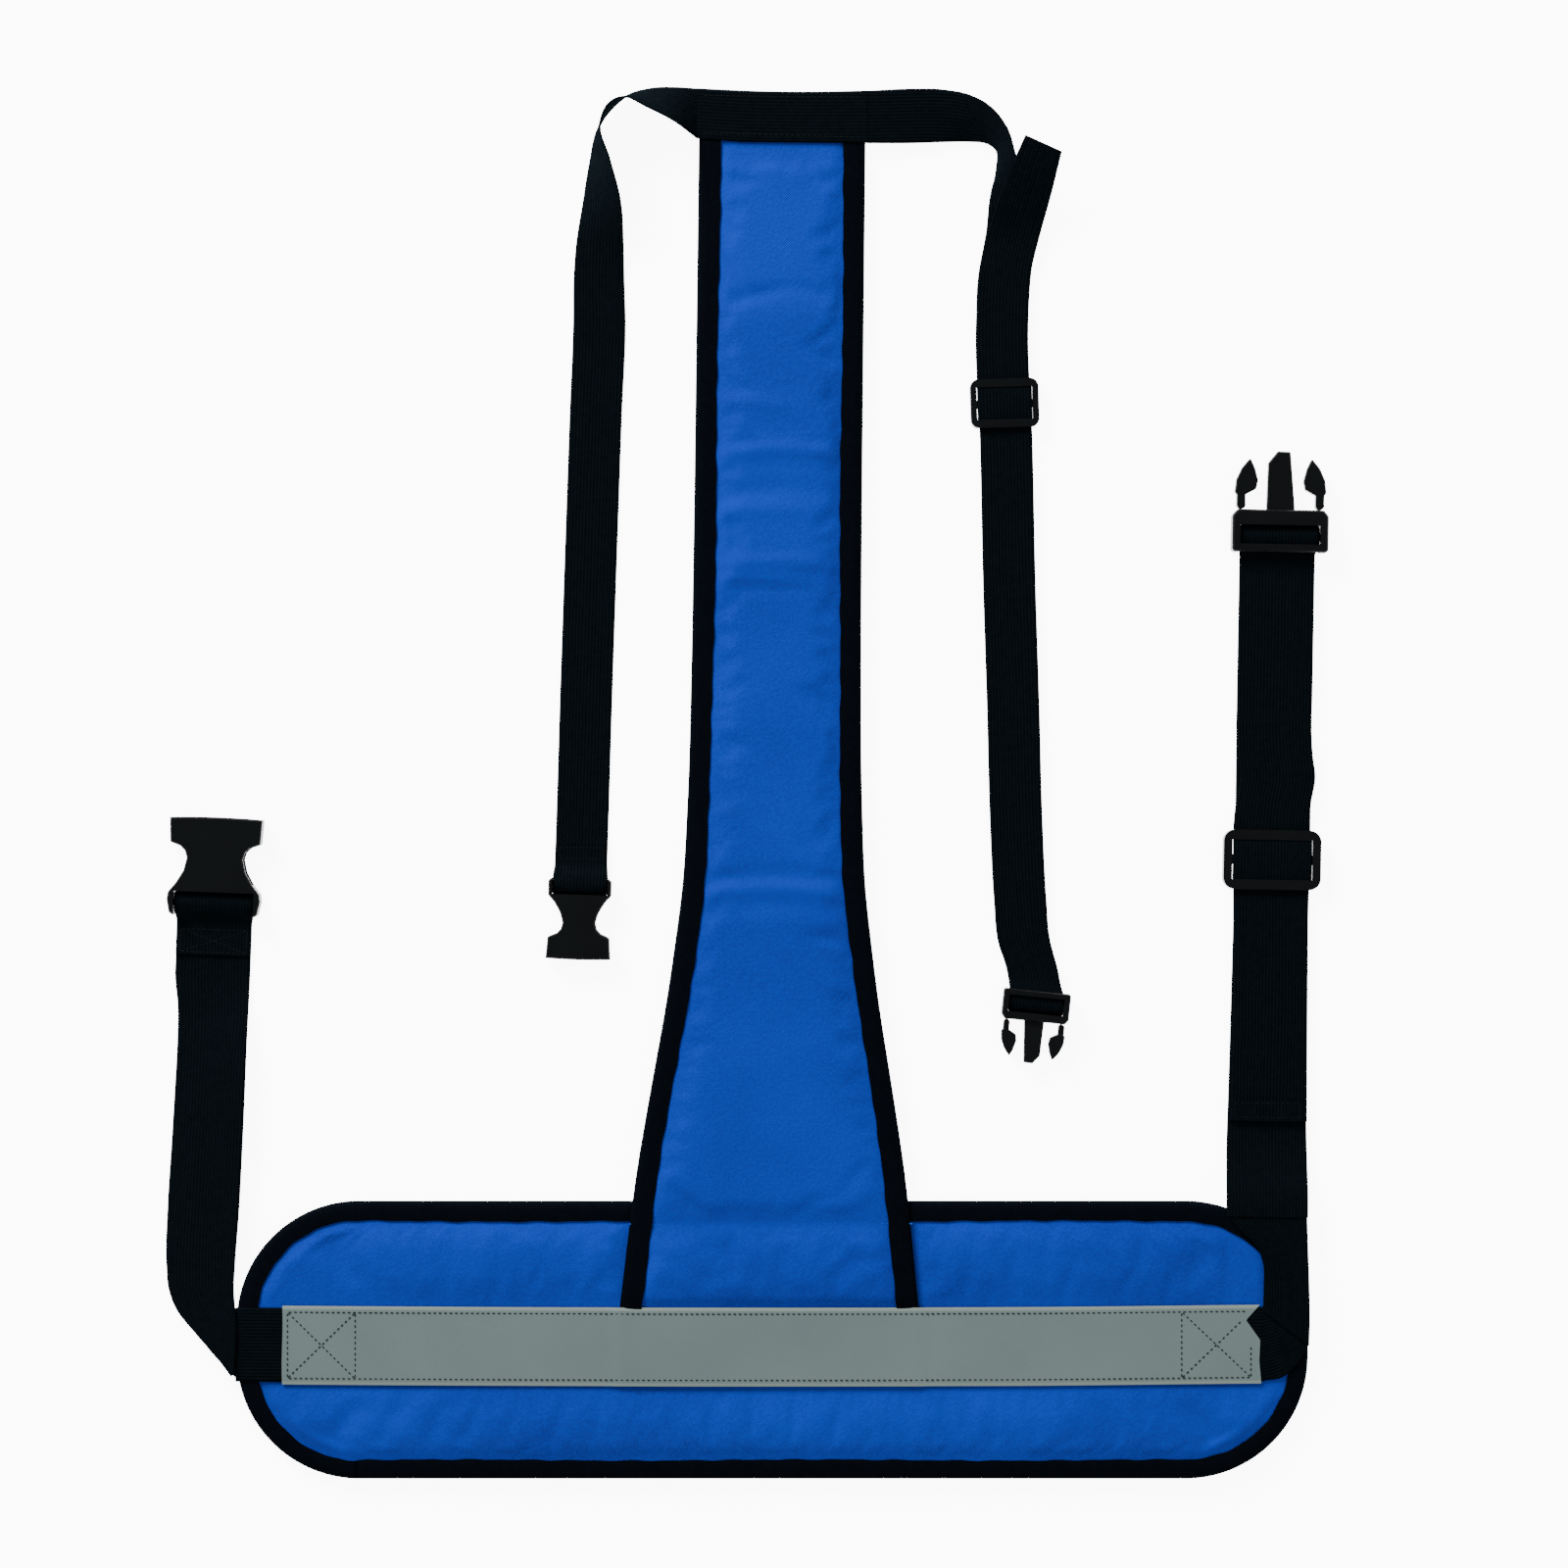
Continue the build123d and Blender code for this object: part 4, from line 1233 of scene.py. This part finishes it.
def make_right_waist_strap():
    """From the pad's corner up through the slider, round the plug's bar and back as a tail.

    The lower layer drifts a little to the sides and widens below the slider's reach, and the
    tail strays to one side in the middle."""
    fold = (WAIST_FOLD_Y - waist_plug.bar[1]) / np.cos(waist_plug.turn)
    run = [(fold - 13, 11.7), (fold - 4, 11.6), (fold + 3, 10.6), (fold + 14, 7.6), (fold + 26, 4.6),
           (fold + 40, 3.0), (fold + 60, LOWER), (-300, LOWER), (-200, LOWER), (-100, LOWER)]
    tail_end = fold + 47
    loop = waist_plug.turn_round(LOWER, UPPER, -50, -46)
    tail = [(y, UPPER) for y in (-100, -124, -138, -153, -168, -182, -205, -300, tail_end)]
    path = np.concatenate([run, loop, tail])
    edges = waist_plug.edges(path)
    drift = np.interp(path[:, 0], [-430, -330, -250, -190, -150, -100, -60],
                      [0.2, -0.2, -0.4, 0.6, 0.2, 0, 0])
    astray = 3.2 * np.exp(-((path[:, 0] + 153) / 15) ** 2)
    shift = np.where(np.arange(len(path)) < len(run) + 6, drift, astray - 1.6 * drift)
    edges[..., 0] += shift[:, None]
    spread = 1 + 0.085 * step(-path[:, 0], 290, 430)
    middle = edges.mean(axis=1, keepdims=True)
    edges = through(middle + (edges - middle) * spread[:, None, None], 640)
    local = (edges.mean(axis=1) - waist_plug.bar)[:, 1]
    nose = int(np.argmax(local))
    first = int(np.argmax(local > -44))
    second = nose + int(np.argmax(local[nose:] < -44))
    webbing("waist_web_right", edges[:first + 1], ["waist_strap_right"],
            joint=("waist_pad", "right_waist_strap", (314, 83, 11.6), (314, 98, 11.6)))
    webbing("waist_web_right_end", edges[first:second + 1], ["waist_strap_right_loop"],
            joint=bend_near(waist_plug, "right_waist_strap", "right_waist_plug", -22, -9),
            held="folded")
    webbing("waist_web_right_tail", edges[second:], ["waist_strap_right_tail"], "right_waist_strap")
    hem = [(tail_end + 0.4, 5.75), (tail_end + 7, 5.8), (tail_end + 14, 5.75)]
    hem = waist_plug.edges(hem, web=47.6)
    webbing("waist_web_right_hem", hem, [], "right_waist_strap", held="folded", thick=1.3)
    lines = box_lines(waist_plug, tail_end + 2.5, tail_end + 11.5, 6.5, cross=False)
    thread("waist_tail_stitches", lines, black_thread, "right_waist_strap", pitch=3.2,
           size=(2.4, 0.7, 0.4))


make_right_waist_strap()


# %% Pleated corner of the webbing at the pad's right end
def make_right_corner():
    """The webbing turns from along the pad to up the pad in two flat layers."""
    level = PAD_THICK + WEB / 2
    along = [((311.5, 21, level + 0.75), (311.5, -25.2, level + 0.1)),
             ((320, 26, level), (322, -24, level)), ((334, 38, level), (332.5, -15.5, level)),
             ((339.5, 52, level), (340.8, -3, level))]
    webbing("waist_web_corner_under", through(along, 30), ["waist_strap_right_corner"], "waist_pad",
            held="folded")
    upward = [((311.6, 19), (341.0, -3)), ((312, 34), (341.4, 12)), ((311.5, 50), (341.2, 32)),
              ((306, 62), (340.6, 52)), ((296, 71), (340.0, 70)), ((289, 79), (339.6, 88))]
    upward = through(raised(upward, level + WEB), 40)
    webbing("waist_web_corner_over", upward, [], "waist_pad", held="folded")


make_right_corner()


# %% Neck webbing across the stem's top
def make_neck_webbing():
    """A length sewn flat across the stem; its upper edge dips in the middle and falls to the right."""
    low, high = corners("neck_webbing")
    level = high[2] - WEB / 2 + 0.1
    x = np.linspace(low[0], high[0], 28)
    dip = 1.4 * np.sin(np.pi * (x - low[0]) / (high[0] - low[0]))
    upper = np.interp(x, [low[0], high[0]], [high[1], high[1] - 1.5]) - dip
    lower = np.interp(x, [low[0], -20, high[0]], [low[1] + 3, low[1] + 0.8, low[1]])
    edges = raised(np.stack([np.stack([x, upper], 1), np.stack([x, lower], 1)], 1), level)
    webbing("neck_web_top", edges, ["neck_webbing"], "stem", held="stretched")
    rise = level + WEB / 2 + 0.05
    rows = [[(low[0] + 4, low[1] + 6.5, rise), (high[0] - 4, low[1] + 3.5, rise)],
            [(low[0] + 4, high[1] - 5, rise), (high[0] - 4, high[1] - 6, rise)]]
    thread("neck_seam_stitches", rows, black_thread, "stem", pitch=3.4, size=(2.6, 0.7, 0.4))


make_neck_webbing()


# %% Left neck strap
def make_left_neck_strap():
    """Off the stem's top, over onto one edge as it turns, then flat down to the socket."""
    flat = STEM_THICK + WEB / 2
    turn = [((-47.9, 764, flat), (-47.9, 796, flat)), ((-63, 773, 22), (-63, 797.2, 6)),
            ((-79.8, 780.6, 30.5), (-79, 796.6, 2.2)), ((-91.5, 786, 32.6), (-91.5, 793, 0.9)),
            ((-103.5, 781.2, 32.8), (-104.6, 781.5, 0.9)), ((-108.3, 768.2, 32.4), (-111.6, 770, 0.9)),
            ((-102.3, 748, 30.5), (-116.4, 750, 0.9)), ((-95.4, 722, 21), (-121.3, 722, 0.9)),
            ((-94.4, 696, 6), (-125.2, 697, 0.9)), ((-94.2, 676, 1.2), (-126.6, 677, 0.85))]
    run = np.array([(-110.2, 648), (-112.4, 591), (-116.3, 479), (-118.8, 404), (-120.4, 350)])
    half = neck_socket.web / 2
    sides = raised(np.stack([run + [half, 0], run - [half, 0]], 1), 0.75)
    loop = neck_socket.turn_round(0.75, 2.2, -38, -24.2)
    edges = through(np.concatenate([turn, sides, neck_socket.edges(loop)]), 560)
    behind = (edges.mean(axis=1) - neck_socket.bar)[:, 1]
    cut = int(np.argmax(behind < 42))
    webbing("neck_web_left", edges[:cut + 1], ["neck_strap_left_turn", "neck_strap_left"],
            joint=("stem", "left_neck_strap", (-42, 780, 8.8), (-56, 780, 8.8)))
    webbing("neck_web_left_end", edges[cut:], ["neck_strap_left_loop"],
            joint=bend_near(neck_socket, "left_neck_strap", "left_neck_socket", -30, -18),
            held="folded")
    lines = box_lines(neck_socket, -22.5, -15.5, 2.95, cross=False)
    thread("neck_socket_stitches", lines, black_thread, "left_neck_socket", pitch=3.0,
           size=(2.2, 0.6, 0.4))


make_left_neck_strap()


# %% Right neck strap
def make_right_neck_strap():
    """Off the stem's top, over and down, through the slider and round the plug's bar."""
    flat = STEM_THICK + WEB / 2
    turn = [((60.3, 794.5, flat), (60.3, 761, flat)), ((89, 796, 6.8), (89, 761.5, 5)),
            ((109, 795, 9.5), (109, 762.5, 2.8)), ((126.5, 789.5, 18.5), (125.8, 763, 1)),
            ((138, 781.5, 25), (136, 762, 0.9)), ((148, 768, 27), (143, 757, 0.9)),
            ((154.5, 750, 21.5), (142.7, 746, 0.9)), ((166, 728, 9), (138.6, 728, 1.5)),
            ((169.5, 706, 3.2), (136.2, 706, LOWER)), ((165.2, 680, LOWER), (131.7, 680, LOWER))]
    line = np.array([(146.4, 647), (149.0, 572), (151.0, 480), (153.4, 404), (155.4, 330),
                     (157.9, 280), (160.3, 254)])
    half = neck_plug.web / 2
    sides = np.stack([line + [half, 0], line - [half, 0]], 1)
    loop = neck_plug.turn_round(LOWER, UPPER, -24, -24)
    rising = [((165, 680, UPPER), (131.4, 680, UPPER)), ((170.2, 702, 5.2), (136.6, 704, 5.2)),
              ((176.6, 726, 15), (146.0, 732, 15.5)), ((182.6, 752, 30), (159.4, 762.5, 30.5))]
    whole = np.concatenate([turn, raised(sides, LOWER), neck_plug.edges(loop)[2:-2],
                            raised(sides[::-1], UPPER), rising])
    edges = through(whole, 900)
    local = (edges.mean(axis=1) - neck_plug.bar)[:, 1]
    nose = int(np.argmin(local))
    first = int(np.argmax(local < 40))
    second = nose + int(np.argmax(local[nose:] > 40))
    webbing("neck_web_right", edges[:first + 1], ["neck_strap_right_turn", "neck_strap_right"],
            joint=("stem", "right_neck_strap", (54, 780, 8.8), (69, 780, 8.8)))
    webbing("neck_web_right_end", edges[first:second + 1], ["neck_strap_right_loop"],
            joint=bend_near(neck_plug, "right_neck_strap", "right_neck_plug", -20, -9), held="folded")
    webbing("neck_web_right_tail", edges[second:], ["neck_strap_right_tail"], "right_neck_strap")


make_right_neck_strap()


# %% [markdown]
# ## Buckles and sliders
# The buckle halves and the sliders are already the right shape in the frame, so they only take on
# the moulded finish. What the frame leaves out is the webbing that rises through each slider's
# window over its centre bar: a short arch of webbing that slides along with it.

# %% Moulded parts
MOULDED = ("waist_socket", "waist_plug", "waist_slider", "neck_socket", "neck_plug", "neck_slider")
moulded = [name for name in frame["nodes"] if name.startswith(MOULDED)]
for name in moulded:
    node = frame["nodes"][name]
    node.data.materials.clear()
    node.data.materials.append(plastic_finish.material)
print("moulded parts:", len(moulded))


# %% Webbing that rises in the sliders' windows
SLIDER_LENGTHS = {"waist_slider": 38.0, "neck_slider": 31.0}
TAIL_TOP = 5.75


def make_window_arch(slider, web, turn, rise):
    """Arch along the strap: height is the top of the tail plus a rounded hump."""
    low, high = corners(slider)
    centre = (low + high) / 2
    y = np.linspace(-1, 1, 25)
    reach = 0.5 * SLIDER_LENGTHS[slider] - 2.5
    z = TAIL_TOP + rise * (1 - np.abs(y) ** 2.6)
    c, s = np.cos(turn), np.sin(turn)
    y = y * reach
    sides = [np.stack([centre[0] + c * side - s * y, centre[1] + s * side + c * y, z], 1)
             for side in (-web / 2, web / 2)]
    webbing(f"{slider}_web", np.stack(sides, 1), [], f"right_{slider}", held="folded")


make_window_arch("waist_slider", 50.4, waist_plug.turn, 1.6)
make_window_arch("neck_slider", 34.9, np.radians(1.8), 1.5)

# %% [markdown]
# ## Floor
# The floor is a wide pale sheet a hair below the harness. It belongs to the picture, not to the
# harness.

# %% Floor
FLOOR_HALF = 12000.0
FLOOR_LEVEL = -0.4
floor_finish = Finish("pale sheet", 0.9, Specular_IOR_Level=0.1, Emission_Color=(1, 1, 1, 1),
                      Emission_Strength=9.0)
floor_finish.feed("Base Color", floor_finish.blended(
    shade(250, 250, 250), shade(247, 247, 247), floor_finish.cloudy(3.0)))
floor_points = np.array([(-1, -1), (1, -1), (1, 1), (-1, 1)]) * FLOOR_HALF
floor = put("floor", np.c_[floor_points, np.full(4, FLOOR_LEVEL)], [(0, 1, 2, 3)], floor_finish)
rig.stage(floor)
print("floor:", FLOOR_LEVEL, "mm")

# %% Sizes, and the end
json.dump({"cad": [list(corner) for corner in cad_box], "visual": [list(corner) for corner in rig.bounds()]},
          open("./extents.json", "w"))
print(open("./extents.json").read())
